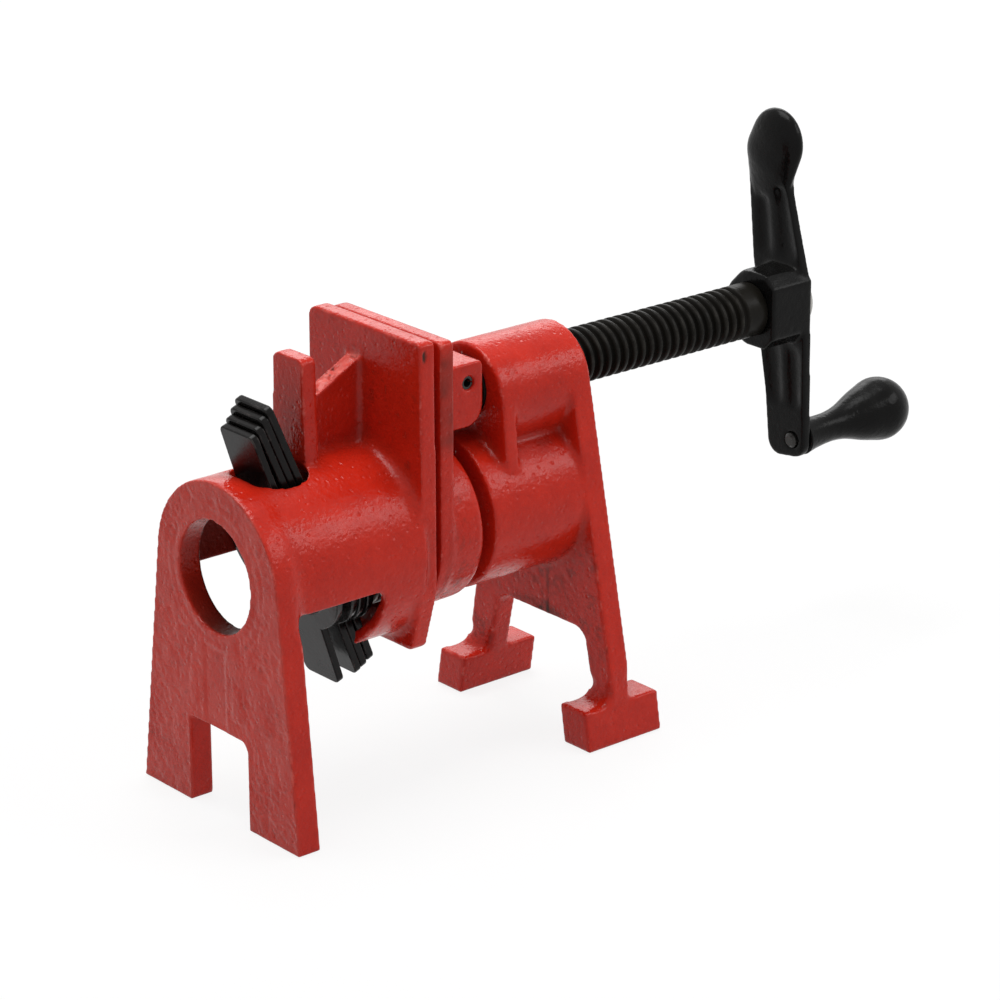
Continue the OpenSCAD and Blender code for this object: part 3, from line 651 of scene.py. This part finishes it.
# %% Colour the tail jaw and press its relief
def tail_colour(points, here, stored):
    x, y, z = (points / MM).T
    rough_ground = lumps(points, 0.9, 13) * lumps(points, 2.6, 18) ** 0.5
    holes = here["slope"] * spots(points, 0.9, 28, 5, 3.6)
    ground_and_sheen = here["slope"] * (0.15 + 1.2 * rough_ground)
    # Painted sheen: the leg plate's front is lightened towards the worn colour.
    ground_and_sheen += here["front"] * 0.15 * (0.5 + lumps(points, 5, 19))
    ground_and_sheen += here["tab_corner"] * (0.3 + 0.6 * lumps(points, 0.7, 14))
    stored["ground_and_sheen"] = np.clip(ground_and_sheen, 0, 1)
    # Painted shade for the inside of the barrel and the bore, added to the stains below; in the
    # bore it is darker low down and on one side.
    bore_shade = np.clip(0.62 - 0.03 * y - 0.018 * (z - PIPE_Z), 0.25, 0.95)
    stain_and_shade = here["chip"] + holes + 0.5 * here["front"] * spots(points, 0.9, 15, 4, 3.25)
    stain_and_shade = stain_and_shade + 0.6 * here["barrel"] + here["bore"] * bore_shade
    stain_and_shade = stain_and_shade + 0.5 * here["plate_back"] * spots(points, 1.2, 24, 3, 2.2)
    stored["stain_and_shade"] = np.clip(stain_and_shade, 0, 1)


def tail_marks(points, normals, stored):
    here = tail_places(points, normals)
    grain = 0.36 * lumps(points, 0.9, 11) * lumps(points, 3.2, 20) + 0.10 * lumps(points, 2.3, 12)
    grain = grain * (1 - 0.85 * stored["edge"])
    tail_colour(points, here, stored)
    depth = here["front"] * grain * (1 - 0.8 * here["band"])
    depth = depth + 0.38 * here["band"] + 0.05 * here["rings"] - 0.21 * here["ridges"]
    depth = depth + 0.3 * here["chip"] + 0.35 * here["lip"] * lumps(points, 1.4, 16)
    return depth + here["slope"] * (0.9 * lumps(points, 1.6, 17) + 0.5 * lumps(points, 0.9, 25))


print("tail jaw's marks ready")

# %% [markdown]
# ## Tail jaw: cast it
# Where the barrel runs into the leg plate, the real casting has no line at all. A few more
# rounds of relaxing in just that ring blend the two, and the rest keeps its shape.

# %% Cast the tail jaw
def tail_blend(points):
    x, y, z = (points / MM).T
    return near(x, 3.6, 10.2, 1.2) * rising(z, 50, 6) * rising(from_pipe_axis(y, z), 22.5, 0.5)


casting("cast_tail_jaw", "tail_jaw", marks=tail_marks, seed=10, blend=tail_blend, **thick_wall)

# %% [markdown]
# ## Front jaw
# It is cast and enamelled like the tail jaw, so it is made in the same way. Its sleeve has been
# handled and is smudged. The plate's side face is darker in its upper part, and a little where the
# sleeve leaves the plate. One noise would spread the smudges evenly, so two sizes of lumps are
# multiplied, which makes them gather in places.

# %% Cast the front jaw
SLEEVE_X, SLEEVE_TOP = (56.5, 67, 1), 74
EDGE_X, EDGE_Z, SEAM_X, SEAM_TOP = (51, 56, 0.3), (84, 112, 4), (53.6, 56, 0.5), 70


def front_marks(points, normals, stored):
    x, y, z = (points / MM).T
    sleeve = near(x, *SLEEVE_X) * falling(z, SLEEVE_TOP, 6)
    smudge = np.clip(lumps(points, 3.0, 22) * lumps(points, 1.0, 26) * 3 - 0.9, 0, 1)
    edge = near(x, *EDGE_X) * near(z, *EDGE_Z) * np.clip(-normals[:, 1], 0, 1)
    seam = near(x, *SEAM_X) * falling(z, SEAM_TOP, 20)
    # Darkens the upper part of the plate's side face.
    side_darkening = edge * (0.25 + 0.4 * lumps(points, 2.4, 27))
    stored["stain_and_shade"] = np.clip(0.45 * sleeve * smudge + side_darkening + 0.2 * seam, 0, 1)
    return 0.10 * sleeve * lumps(points, 1.5, 23)


casting("cast_front_jaw", "movable_jaw", marks=front_marks, seed=20, **thick_wall)

# %% [markdown]
# ## Head: stains and the socket's thread
# Grease has run down the plate under the socket and dust lies in the arch, and a painted shadow
# darkens the web under the boss. The socket is threaded for the pipe. A thread could be cut with a
# boolean, but the bore's wall is already made of fine cells, so a wave that climbs by one pitch in
# each turn is pressed into it.

# %% Mark the head
PLATE_X, PLATE_TOP = (96, 101.5, 1.2), 56
DRIP_Y, DRIP_Z = (-6.2, -4.4, 0.6), (26, 42, 3)
SOCKET_R, SOCKET_X, PIPE_PITCH, THREAD_DEPTH = (12.2, 13.0, 0.15), (70.8, 104.6, 1.0), 1.814, 0.45


def socket_thread(x, y, z):
    wall = near(from_pipe_axis(y, z), *SOCKET_R) * near(x, *SOCKET_X)
    turned = np.arctan2(z - PIPE_Z, y) / (2 * math.pi)
    wave = 0.5 + 0.5 * np.sin(2 * math.pi * (x / PIPE_PITCH - turned))
    return wall, THREAD_DEPTH * wall * wave


def head_marks(points, normals, stored):
    x, y, z = (points / MM).T
    plate = near(x, *PLATE_X) * np.clip(-normals[:, 0] * 2, 0, 1) * falling(z, PLATE_TOP, 8)
    drip = plate * near(y, *DRIP_Y) * near(z, *DRIP_Z) * lumps(points, 1.0, 31)
    mottle = np.clip(lumps(points, 1.1, 33) * lumps(points, 3.6, 34) * 4 - 1.0, 0, 1)
    arch_dust = blob(points, (99.2, -2, 28.6), (3, 12, 2.4)) * lumps(points, 1.3, 32)
    # Painted shadow under the boss.
    shadow_under_boss = blob(points, (92, -13.2, 78.5), (5, 3, 2.5)) * lumps(points, 1.4, 35)
    stain_and_shade = 0.75 * drip + 0.8 * arch_dust + 0.36 * plate * mottle + 0.6 * shadow_under_boss
    wall, thread = socket_thread(x, y, z)
    stored["stain_and_shade"] = np.clip(np.clip(stain_and_shade, 0, 1) + 0.7 * (wall > 0), 0, 1)
    return thread + 0.12 * plate * lumps(points, 1.2, 36)


print("the socket has", round((SOCKET_X[1] - SOCKET_X[0]) / PIPE_PITCH), "turns of thread")

# %% [markdown]
# ## Head: cast it
# On the real head the left leg runs flush into its foot, and the measured solid has a narrow
# step there. The step's points are moved onto the leaning side before anything is relaxed. Over
# the feet, a few more rounds turn the ankle's other step into the soft hollow of a fillet.

# %% Cast the head
FOOT_H, FOOT_TOP_IN, FOOT_INNER_Y = 10.3, 1.7, 19.4


def flush_foot(points):
    x, y, z = (points / MM).T
    inner = FOOT_INNER_Y - FOOT_TOP_IN * z / FOOT_H
    proud = (z < FOOT_H + 0.1) & (x > 98.6) & (x < 106) & (y > 15) & (y < inner)
    moved = points.copy()
    moved[proud, 1] = inner[proud] * MM
    print("points moved to make the left foot flush:", int(proud.sum()))
    return moved


def ankle_blend(points):
    x, y, z = (points / MM).T
    return 0.55 * near(z, 9.4, 16.5, 1.2) * near(x, 93, 100.6, 0.8)


casting("cast_head", "head", marks=head_marks, seed=30, blend=ankle_blend, flush=flush_foot,
        **thick_wall)

# %% [markdown]
# ## Crank
# The crank is a smaller casting, painted black, with more rounding than the jaws. Its hub is
# nearly round on the far side, and shallow grooves with soft sides run along its arms. The
# measured solid has both with plain edges, so these two areas get more rounds than the rest.
# The arms taper, and the limits of the grooves lean with them, to leave the outline alone.

# %% Cast the crank
HUB_Z, UPPER_Z, LOWER_Z = (80, 104, 1), (103, 126, 1.5), (63, 81, 1.5)


def crank_blend(points):
    x, y, z = (points / MM).T
    hub = falling(x, 182, 1.5) * rising(y, 1, 3) * near(z, *HUB_Z)
    upper = near(z, *UPPER_Z) * near(y, -5.9 + 0.29 * (z - 104), 10.6, 1.0)
    lower = near(z, *LOWER_Z) * near(y, -8.2, 4.6 + 0.17 * (z - 64), 1.0)
    grooves = falling(x, 186.2, 1.0) * (upper + lower)
    return np.clip(0.8 * hub + 0.7 * grooves, 0, 1)


casting("cast_crank", "crank_handle", cast_black, cell=0.36, rounds=9, skin=0.03, seed=40,
        blend=crank_blend)

# %% [markdown]
# ## Locking plates
# The four plates are stamped from sheet and tumbled, so their shape is exact and only their
# rims are rounded. Cells would soften them too much. A bevel on the sharp edges of a copy gives
# the rims, and weighted normals keep the broad faces flat in the light. The rubbed look is
# stored per face, on the rims alone, because a value on the vertices would spread over the flats.

# %% Round the rims of the plates
RIM_WIDTH, RIM_SEGMENTS, RIM_WEAR = 0.4, 3, 0.8
SHARP, COPLANAR = math.radians(40), math.radians(0.3)


def rounded_plate(name, measured):
    mesh = frame["nodes"][measured].data.copy()
    mesh.name = name
    shape = bmesh.new()
    shape.from_mesh(mesh)
    bmesh.ops.remove_doubles(shape, verts=shape.verts, dist=1e-6)
    bmesh.ops.dissolve_limit(shape, angle_limit=COPLANAR, verts=shape.verts, edges=shape.edges)
    sharp = [e for e in shape.edges if len(e.link_faces) == 2 and e.calc_face_angle() > SHARP]
    bevelled = bmesh.ops.bevel(shape, geom=sharp, offset=RIM_WIDTH * MM, segments=RIM_SEGMENTS,
                               profile=0.5, affect="EDGES", clamp_overlap=True)
    shape.faces.index_update()
    rim = [face.index for face in bevelled["faces"]]
    shape.to_mesh(mesh)
    shape.free()
    mesh.shade_smooth()
    worn_faces = np.zeros(len(mesh.polygons))
    worn_faces[rim] = RIM_WEAR
    store_values(mesh, "edge", worn_faces, "FACE")
    piece = bpy.data.objects.new(name, mesh)
    piece.modifiers.new("flat_faces", "WEIGHTED_NORMAL").weight = 100
    join_model(piece, measured, plate_black)


for number in range(1, 5):
    rounded_plate(f"locking_plate_{number}", f"clutch_plate_{number}")

# %% [markdown]
# ## A skin over a row of rings
# The spring's wire and the screw are both a row of rings with a skin over them and a cap at each
# end. A curve with a bevel could make the wire but not the thread, so one function makes both.
# A ring normally closes on itself. In a thread it has to close on the ring one turn further on,
# and the list of joins says which.

# %% Skin a row of rings
SMOOTH_LIMIT = math.radians(50)


def loose_edges(mesh):
    shape = bmesh.new()
    shape.from_mesh(mesh)
    count = sum(len(edge.link_faces) != 2 for edge in shape.edges)
    shape.free()
    return count


def tidied(mesh):
    shape = bmesh.new()
    shape.from_mesh(mesh)
    bmesh.ops.remove_doubles(shape, verts=shape.verts, dist=1e-7)
    bmesh.ops.dissolve_degenerate(shape, edges=shape.edges, dist=1e-7)
    bmesh.ops.recalc_face_normals(shape, faces=shape.faces)
    shape.to_mesh(mesh)
    shape.free()
    mesh.shade_smooth()
    mesh.set_sharp_from_angle(angle=SMOOTH_LIMIT)
    print(mesh.name, "has", loose_edges(mesh), "edges with other than two faces")
    return mesh


def closed_mesh(name, rings, first_centre, last_centre, joins=None):
    sides = len(rings[0])
    joins = joins or list(range(len(rings)))
    points = [tuple(Vector(p) * MM) for ring in rings for p in ring]
    points += [tuple(Vector(first_centre) * MM), tuple(Vector(last_centre) * MM)]
    first, last = len(points) - 2, len(points) - 1
    faces = []
    for i in range(len(rings) - 1):
        for k in range(sides):
            here, beyond = (i, i + 1) if k < sides - 1 else (joins[i], joins[i + 1])
            step = (k + 1) % sides
            corners = (i * sides + k, here * sides + step, beyond * sides + step,
                       (i + 1) * sides + k)
            faces.append(list(dict.fromkeys(corners)))
    base = (len(rings) - 1) * sides
    for k in range(sides):
        faces.append((first, (k + 1) % sides, k))
        faces.append((last, base + k, base + (k + 1) % sides))
    mesh = bpy.data.meshes.new(name)
    mesh.from_pydata(points, [], faces)
    return tidied(mesh)


print("ring skin ready")

# %% [markdown]
# ## Spring: its path
# The spring behind the plates is one wire on a helix round the pipe. One end sits flat against
# the jaw and the other lies on the last leaning plate, so its coils close up on one side. A
# screw modifier can't do that, so the helix is written out, and its pitch changes as it turns.

# %% Follow the wire
lean = math.radians(22.5)
wire_r, coil_r, coil_turns, steps = 0.7, 16.2, 3.5, 168
jaw_x, first_plate_x, plate_step, plate_top_z, plate_t, clearance = 47.3, 6.4, 2.22, 98, 2, 0.35
seat_x = jaw_x - clearance - wire_r
plates_x = first_plate_x + 3 * plate_step + (plate_top_z - PIPE_Z) * math.tan(lean)
free_x = plates_x + plate_t / math.cos(lean) + clearance + wire_r / math.cos(lean)


def coil_point(turns):
    angle = 2 * math.pi * turns + math.pi / 2
    y, z = coil_r * math.cos(angle), coil_r * math.sin(angle)
    free = free_x - z * math.tan(lean)
    return Vector((seat_x + (free - seat_x) * turns / coil_turns, y, PIPE_Z + z))


path = [coil_point(coil_turns * i / steps) for i in range(steps + 1)]
print("the spring is", round(seat_x - free_x, 1), "mm long at the pipe's axis")

# %% [markdown]
# ## Spring: wind it
# The cut ends of the wire run on straight for a little. A ring of the wire's own thickness is
# set square to the path at each step, and the skin joins the rings.

# %% Wind the spring
end_run, wire_sides = 1.3, 12
path = [path[0] + (path[0] - path[1]).normalized() * end_run] + path \
    + [path[-1] + (path[-1] - path[-2]).normalized() * end_run]
rings = []
for i, here in enumerate(path):
    along = (path[min(i + 1, len(path) - 1)] - path[max(i - 1, 0)]).normalized()
    across = along.cross(Vector((0, here.y, here.z - PIPE_Z))).normalized()
    up = across.cross(along)
    rings.append([here + wire_r * (math.cos(a) * up + math.sin(a) * across)
                  for a in (2 * math.pi * k / wire_sides for k in range(wire_sides))])
spring_mesh = closed_mesh("wound_spring", rings, path[0], path[-1])
join_model(bpy.data.objects.new("wound_spring", spring_mesh), "clutch_spring", bright_steel)

# %% [markdown]
# ## Lead screw: the form of its thread
# The screw has a true helical thread with rounded crests. Rings of points straight across it
# would cut the thread at a slant and make it jagged. Here each ring is sheared by one pitch in
# its turn, so it follows one line along a crest, a flank or a root, and the flanks stay crisp.
# The thread fades into the plain shank over one pitch at both ends.

# %% Describe the thread: how far along one pitch, and how high from root to crest
SCREW_Z = 92.05
crest_r, root_r, pitch = 7.17, 5.8, 2.87
thread_start, thread_end = 76.0, 167.5
around = 72
thread_shape = [(0.0, 0.93), (0.05, 0.99), (0.11, 1.0), (0.23, 1.0), (0.29, 0.99), (0.34, 0.93),
                (0.43, 0.45), (0.50, 0.07), (0.55, 0.0), (0.78, 0.0), (0.83, 0.07), (0.91, 0.5)]


def smooth(t):
    t = min(max(t, 0), 1)
    return t * t * (3 - 2 * t)


def screw_ring(x_of, r_of):
    ring = []
    for k in range(around):
        angle = 2 * math.pi * k / around
        x, r = x_of(k / around), r_of(k / around)
        ring.append((x, r * math.cos(angle), SCREW_Z + r * math.sin(angle)))
    return ring


def plain_ring(x, r):
    return screw_ring(lambda part: x, lambda part: r)


def thread_ring(start, height):
    def place(part):
        return min(max(start + pitch * part, thread_start), thread_end)

    def radius(part):
        x = start + pitch * part
        fade = smooth((x - thread_start) / pitch) * smooth((thread_end - x) / pitch)
        return crest_r - (crest_r - root_r) * (1 - height) * fade
    return screw_ring(place, radius)


print("one turn of thread has", len(thread_shape), "rows of", around, "points")

# %% [markdown]
# ## Lead screw: cut it
# The tip has a rounded end and a groove that holds the spring pin, then the thread, then the
# shank up to the crank. Where a thread ring has come round, it joins the ring one turn on.

# %% Cut the thread
tip_x, shank_end, small_step = 60.0, 172.95, 0.3
groove_r = 3.4
tip = [(tip_x, 5.7), (60.35, 6.2), (61.0, 6.85), (61.5, crest_r)]
groove = [(66.3, crest_r), (66.6, crest_r - small_step), (66.6, groove_r + small_step),
          (66.9, groove_r), (70.3, groove_r), (70.6, groove_r + small_step),
          (70.6, crest_r - small_step), (70.9, crest_r)]
plain = tip + groove + [(74.0, crest_r)]
shank = [(thread_end, crest_r), (170.0, crest_r), (172.6, crest_r), (shank_end, crest_r - 0.35)]
rings = [plain_ring(x, r) for x, r in plain]
turns = int((thread_end - thread_start) / pitch) + 2
for turn_number in range(-1, turns):
    for share, height in thread_shape:
        start = thread_start + (turn_number + share) * pitch
        if thread_start - pitch <= start < thread_end:
            rings.append(thread_ring(start, height))
after_thread = len(rings)
rings += [plain_ring(x, r) for x, r in shank]
joins = [min(i + len(thread_shape), after_thread) if len(plain) <= i < after_thread else i
         for i in range(len(rings))]
screw_mesh = closed_mesh("lead_screw", rings, (tip_x, 0, SCREW_Z), (shank_end, 0, SCREW_Z), joins)

# %% [markdown]
# ## Lead screw: square end and wear
# The crank sits on a square end. It is a bevelled block in the same mesh, because the two are
# one piece of steel. The crests are rubbed and the roots hold oil, which is stored from each
# point's distance to the screw's axis, since a thread is too fine for the castings' way.

# %% Add the square end and store the wear
square_len, square_side, square_x = 13.6, 9.5, 179.3
shape = bmesh.new()
shape.from_mesh(screw_mesh)
square = bmesh.ops.create_cube(shape, size=1.0)["verts"]
bmesh.ops.scale(shape, vec=(square_len * MM, square_side * MM, square_side * MM), verts=square)
bmesh.ops.translate(shape, vec=(square_x * MM, 0, SCREW_Z * MM), verts=square)
corners = [e for e in shape.edges if e.verts[0] in square and e.verts[1] in square]
bmesh.ops.bevel(shape, geom=corners, offset=0.9 * MM, segments=2, affect="EDGES")
shape.to_mesh(screw_mesh)
shape.free()
screw_mesh.shade_smooth()
screw_mesh.set_sharp_from_angle(angle=SMOOTH_LIMIT)
x, y, z = (points_of(screw_mesh) / MM).T
from_axis = np.hypot(y, z - SCREW_Z)
in_thread = near(x, thread_start, thread_end, 1.0)
store_values(screw_mesh, "edge", in_thread * rising(from_axis, 6.7, 0.5))
store_values(screw_mesh, "hollow", in_thread * falling(from_axis, 6.2, 0.6))
join_model(bpy.data.objects.new("lead_screw", screw_mesh), "clamp_screw", blackened_steel)

# %% [markdown]
# ## Knob: its profile
# The ball knob turns on its pin: a short flare at the crank, a slim neck that swells into the
# ball, and a round recess in the ball's end for the pin's head. A ball and a cone would meet in
# a crease, so half of the profile is written as radius and height and then smoothed where the
# neck runs into the ball.

# %% Draw the knob's profile
ball_r, ball_reach, neck_r, hole_r, recess_r, recess_depth = 8.6, 32.2, 4.0, 2.08, 3.2, 2.6
knob_start, slim_at, join_angle = 3.2, 12.4, 62.0
flare_steps, swell_steps, ball_steps, smoothing_rounds = 8, 18, 36, 14
flat_r = recess_r + 0.7
knob_end = ball_reach + math.sqrt(ball_r ** 2 - flat_r ** 2)
join_r = ball_r * math.sin(math.radians(join_angle))
join_at = ball_reach - ball_r * math.cos(math.radians(join_angle))
profile = [(hole_r, knob_start), (neck_r + 0.55, knob_start), (neck_r + 0.85, knob_start + 0.3)]
for i in range(1, flare_steps + 1):
    t = i / flare_steps
    profile.append((neck_r + 0.9 * (1 - t) ** 2, knob_start + (slim_at - knob_start) * t))
flare_end = len(profile)
for i in range(1, swell_steps):
    t = i / swell_steps
    swell = (t * t * (3 - 2 * t)) ** 1.6
    profile.append((neck_r + (join_r - neck_r) * swell, slim_at + (join_at - slim_at) * t))
arc_end = 180 - math.degrees(math.asin(flat_r / ball_r))
for i in range(ball_steps + 1):
    angle = math.radians(join_angle + (arc_end - join_angle) * i / ball_steps)
    profile.append((ball_r * math.sin(angle), ball_reach - ball_r * math.cos(angle)))
body = np.array(profile[flare_end:])
smoothed = 28
for _ in range(smoothing_rounds):
    middle = (body[:smoothed - 1] + body[2:smoothed + 1]) / 2
    body[1:smoothed] += 0.5 * (middle - body[1:smoothed])
profile = profile[:flare_end] + [tuple(p) for p in body]
profile += [(flat_r - 0.35, knob_end - 0.02), (recess_r + 0.2, knob_end - 0.1),
            (recess_r, knob_end - 0.35), (recess_r, knob_end - recess_depth),
            (hole_r, knob_end - recess_depth)]
print("the knob reaches", round(knob_end, 1), "mm along its pin's axis")

# %% [markdown]
# ## Knob: turn it
# On a lathe the work spins past the tool, and here the profile goes once round the pin's axis,
# which leans by three degrees. The first and the last point are joined through the hole, so the
# knob is one closed skin, inside and out.

# %% Turn the knob
sides, tilt, pin_foot = 64, math.radians(3), (184.4, -5.1, 54.7)
knob_frame = Matrix.Translation(pin_foot) @ Matrix.Rotation(math.radians(90) - tilt, 4, "Y")
points, faces = [], []
for r, h in profile:
    for k in range(sides):
        angle = 2 * math.pi * k / sides
        on_knob = knob_frame @ Vector((r * math.cos(angle), r * math.sin(angle), h))
        points.append(tuple(on_knob * MM))
for i in range(len(profile)):
    row, next_row = i * sides, (i + 1) % len(profile) * sides
    for k in range(sides):
        step = (k + 1) % sides
        faces.append((row + k, row + step, next_row + step, next_row + k))
knob_mesh = bpy.data.meshes.new("ball_knob")
knob_mesh.from_pydata(points, [], faces)
join_model(bpy.data.objects.new("ball_knob", tidied(knob_mesh)), "crank_knob", cast_black)

# %% [markdown]
# ## Small parts
# The two pins, the lock washer and the screw behind the hub are turned or stamped, with crisp
# edges, and are right as measured. They could be rebuilt, but nothing would be gained, so the
# measured nodes stay and only get their finish.

# %% Finish the small parts
for small_part, finish in (("crank_washer", bright_steel), ("crank_screw", bright_steel),
                           ("screw_pin", dark_pin), ("knob_pin", dark_pin)):
    mesh = frame["nodes"][small_part].data
    mesh.materials.clear()
    mesh.materials.append(finish)
    print(small_part, "takes", finish.name)

# %% [markdown]
# ## Floor
# The photograph has a white ground with a faint shadow. A floor bright enough to look white
# would throw too much light up at the clamp. So the floor is pale for the light that falls on
# the clamp, and only where the camera or a reflection sees it directly is it lifted to white,
# with a faint diffuse part that keeps the shadow. Far from the clamp, where the lamps don't
# reach, it is lifted a little more, so that no edge shows against the sky.

# %% Lay the floor
half, drop = 3.0, -0.0002
floor_mesh = bpy.data.meshes.new("floor")
floor_mesh.from_pydata([(-half, -half, drop), (half, -half, drop), (half, half, drop),
                        (-half, half, drop)], [], [(0, 1, 2, 3)])
floor = bpy.data.objects.new("floor", floor_mesh)
bpy.context.scene.collection.objects.link(floor)
print("the floor is", 2 * half, "m wide")

# %% [markdown]
# ## Floor paint
# Which rays see the floor directly is asked of the Light Path node, and the sky asks the same.
# The lift runs from a little under white near the clamp, where the lamps add the rest, to almost
# white far from it, where they don't.

# %% Two helpers for the ground
def seen_directly(tree):
    rays = node(tree, "ShaderNodeLightPath").outputs
    seen = maths(tree, "MAXIMUM", rays["Is Camera Ray"], rays["Is Glossy Ray"])
    return maths(tree, "MAXIMUM", seen, rays["Is Transmission Ray"])


def grey(value):
    return (value, value, value, 1)


print("ground helpers ready")

# %% Paint the floor
near_lift, far_lift, lift_from, lift_to = 0.86, 0.965, 0.3, 1.4
floor_paint = bpy.data.materials.new("floor_paint")
floor_paint.use_nodes = True
tree = floor_paint.node_tree
tree.nodes.clear()
tone = blended(tree, noise(tree, 4, 2, 0.5), grey(0.69), grey(0.72))
pale = node(tree, "ShaderNodeBsdfDiffuse", {"Color": tone}).outputs[0]
faint = node(tree, "ShaderNodeBsdfDiffuse", {"Color": grey(0.13)}).outputs[0]
place = node(tree, "ShaderNodeTexCoord").outputs["Object"]
away = node(tree, "ShaderNodeVectorMath", {0: place}, operation="LENGTH").outputs["Value"]
lift = ramp(tree, away, lift_from, lift_to, near_lift, far_lift)
white = node(tree, "ShaderNodeEmission", {"Color": grey(1), "Strength": lift}).outputs[0]
lifted = node(tree, "ShaderNodeAddShader", {0: faint, 1: white}).outputs[0]
chosen = node(tree, "ShaderNodeMixShader", {0: seen_directly(tree), 1: pale, 2: lifted}).outputs[0]
node(tree, "ShaderNodeOutputMaterial", {"Surface": chosen})
floor_mesh.materials.append(floor_paint)
print("painted with", floor_paint.name)

# %% [markdown]
# ## Sky
# The studio's walls are an even grey for the light they throw into the shadows, and white where
# the camera or a glossy surface sees them, as the floor is.

# %% Set the sky
world = bpy.data.worlds.new("studio")
world.use_nodes = True
bpy.context.scene.world = world
tree = world.node_tree
tree.nodes.clear()
fill = node(tree, "ShaderNodeBackground", {"Color": grey(0.33), "Strength": 1.0}).outputs[0]
white = node(tree, "ShaderNodeBackground", {"Color": grey(1), "Strength": 1.0}).outputs[0]
sky = node(tree, "ShaderNodeMixShader", {0: seen_directly(tree), 1: fill, 2: white}).outputs[0]
node(tree, "ShaderNodeOutputWorld", {"Surface": sky})
print("sky:", world.name)

# %% [markdown]
# ## Lamps
# A broad lamp above does the shaping. A lamp at the side draws the soft bands along the barrels,
# and one behind brightens the tops. Small lamps would give hard shadows and points of light, so
# each is a wide rectangle, as a photographer's softbox is, and is aimed at the middle of the
# clamp.

# %% Hang the lamps
def soft_lamp(name, towards, distance, size, watts):
    data = bpy.data.lights.new(name, "AREA")
    data.shape = "RECTANGLE"
    data.size, data.size_y = size
    data.energy = watts
    lamp = bpy.data.objects.new(name, data)
    aim = Vector((0.08, 0.0, 0.07))
    lamp.location = aim + Vector(towards).normalized() * distance
    lamp.rotation_euler = (aim - lamp.location).to_track_quat("-Z", "Y").to_euler()
    lamp.visible_camera = False
    bpy.context.scene.collection.objects.link(lamp)
    print(name, "at", tuple(round(v, 2) for v in lamp.location))


soft_lamp("lamp_above", (-0.03, 0.12, 0.88), 0.89, (0.6, 0.6), 7.2)
soft_lamp("lamp_side", (0.57, -0.60, 0.56), 1.0, (0.62, 0.30), 2.4)
soft_lamp("lamp_behind", (0.56, 0.66, 0.42), 1.0, (0.75, 0.36), 1.8)
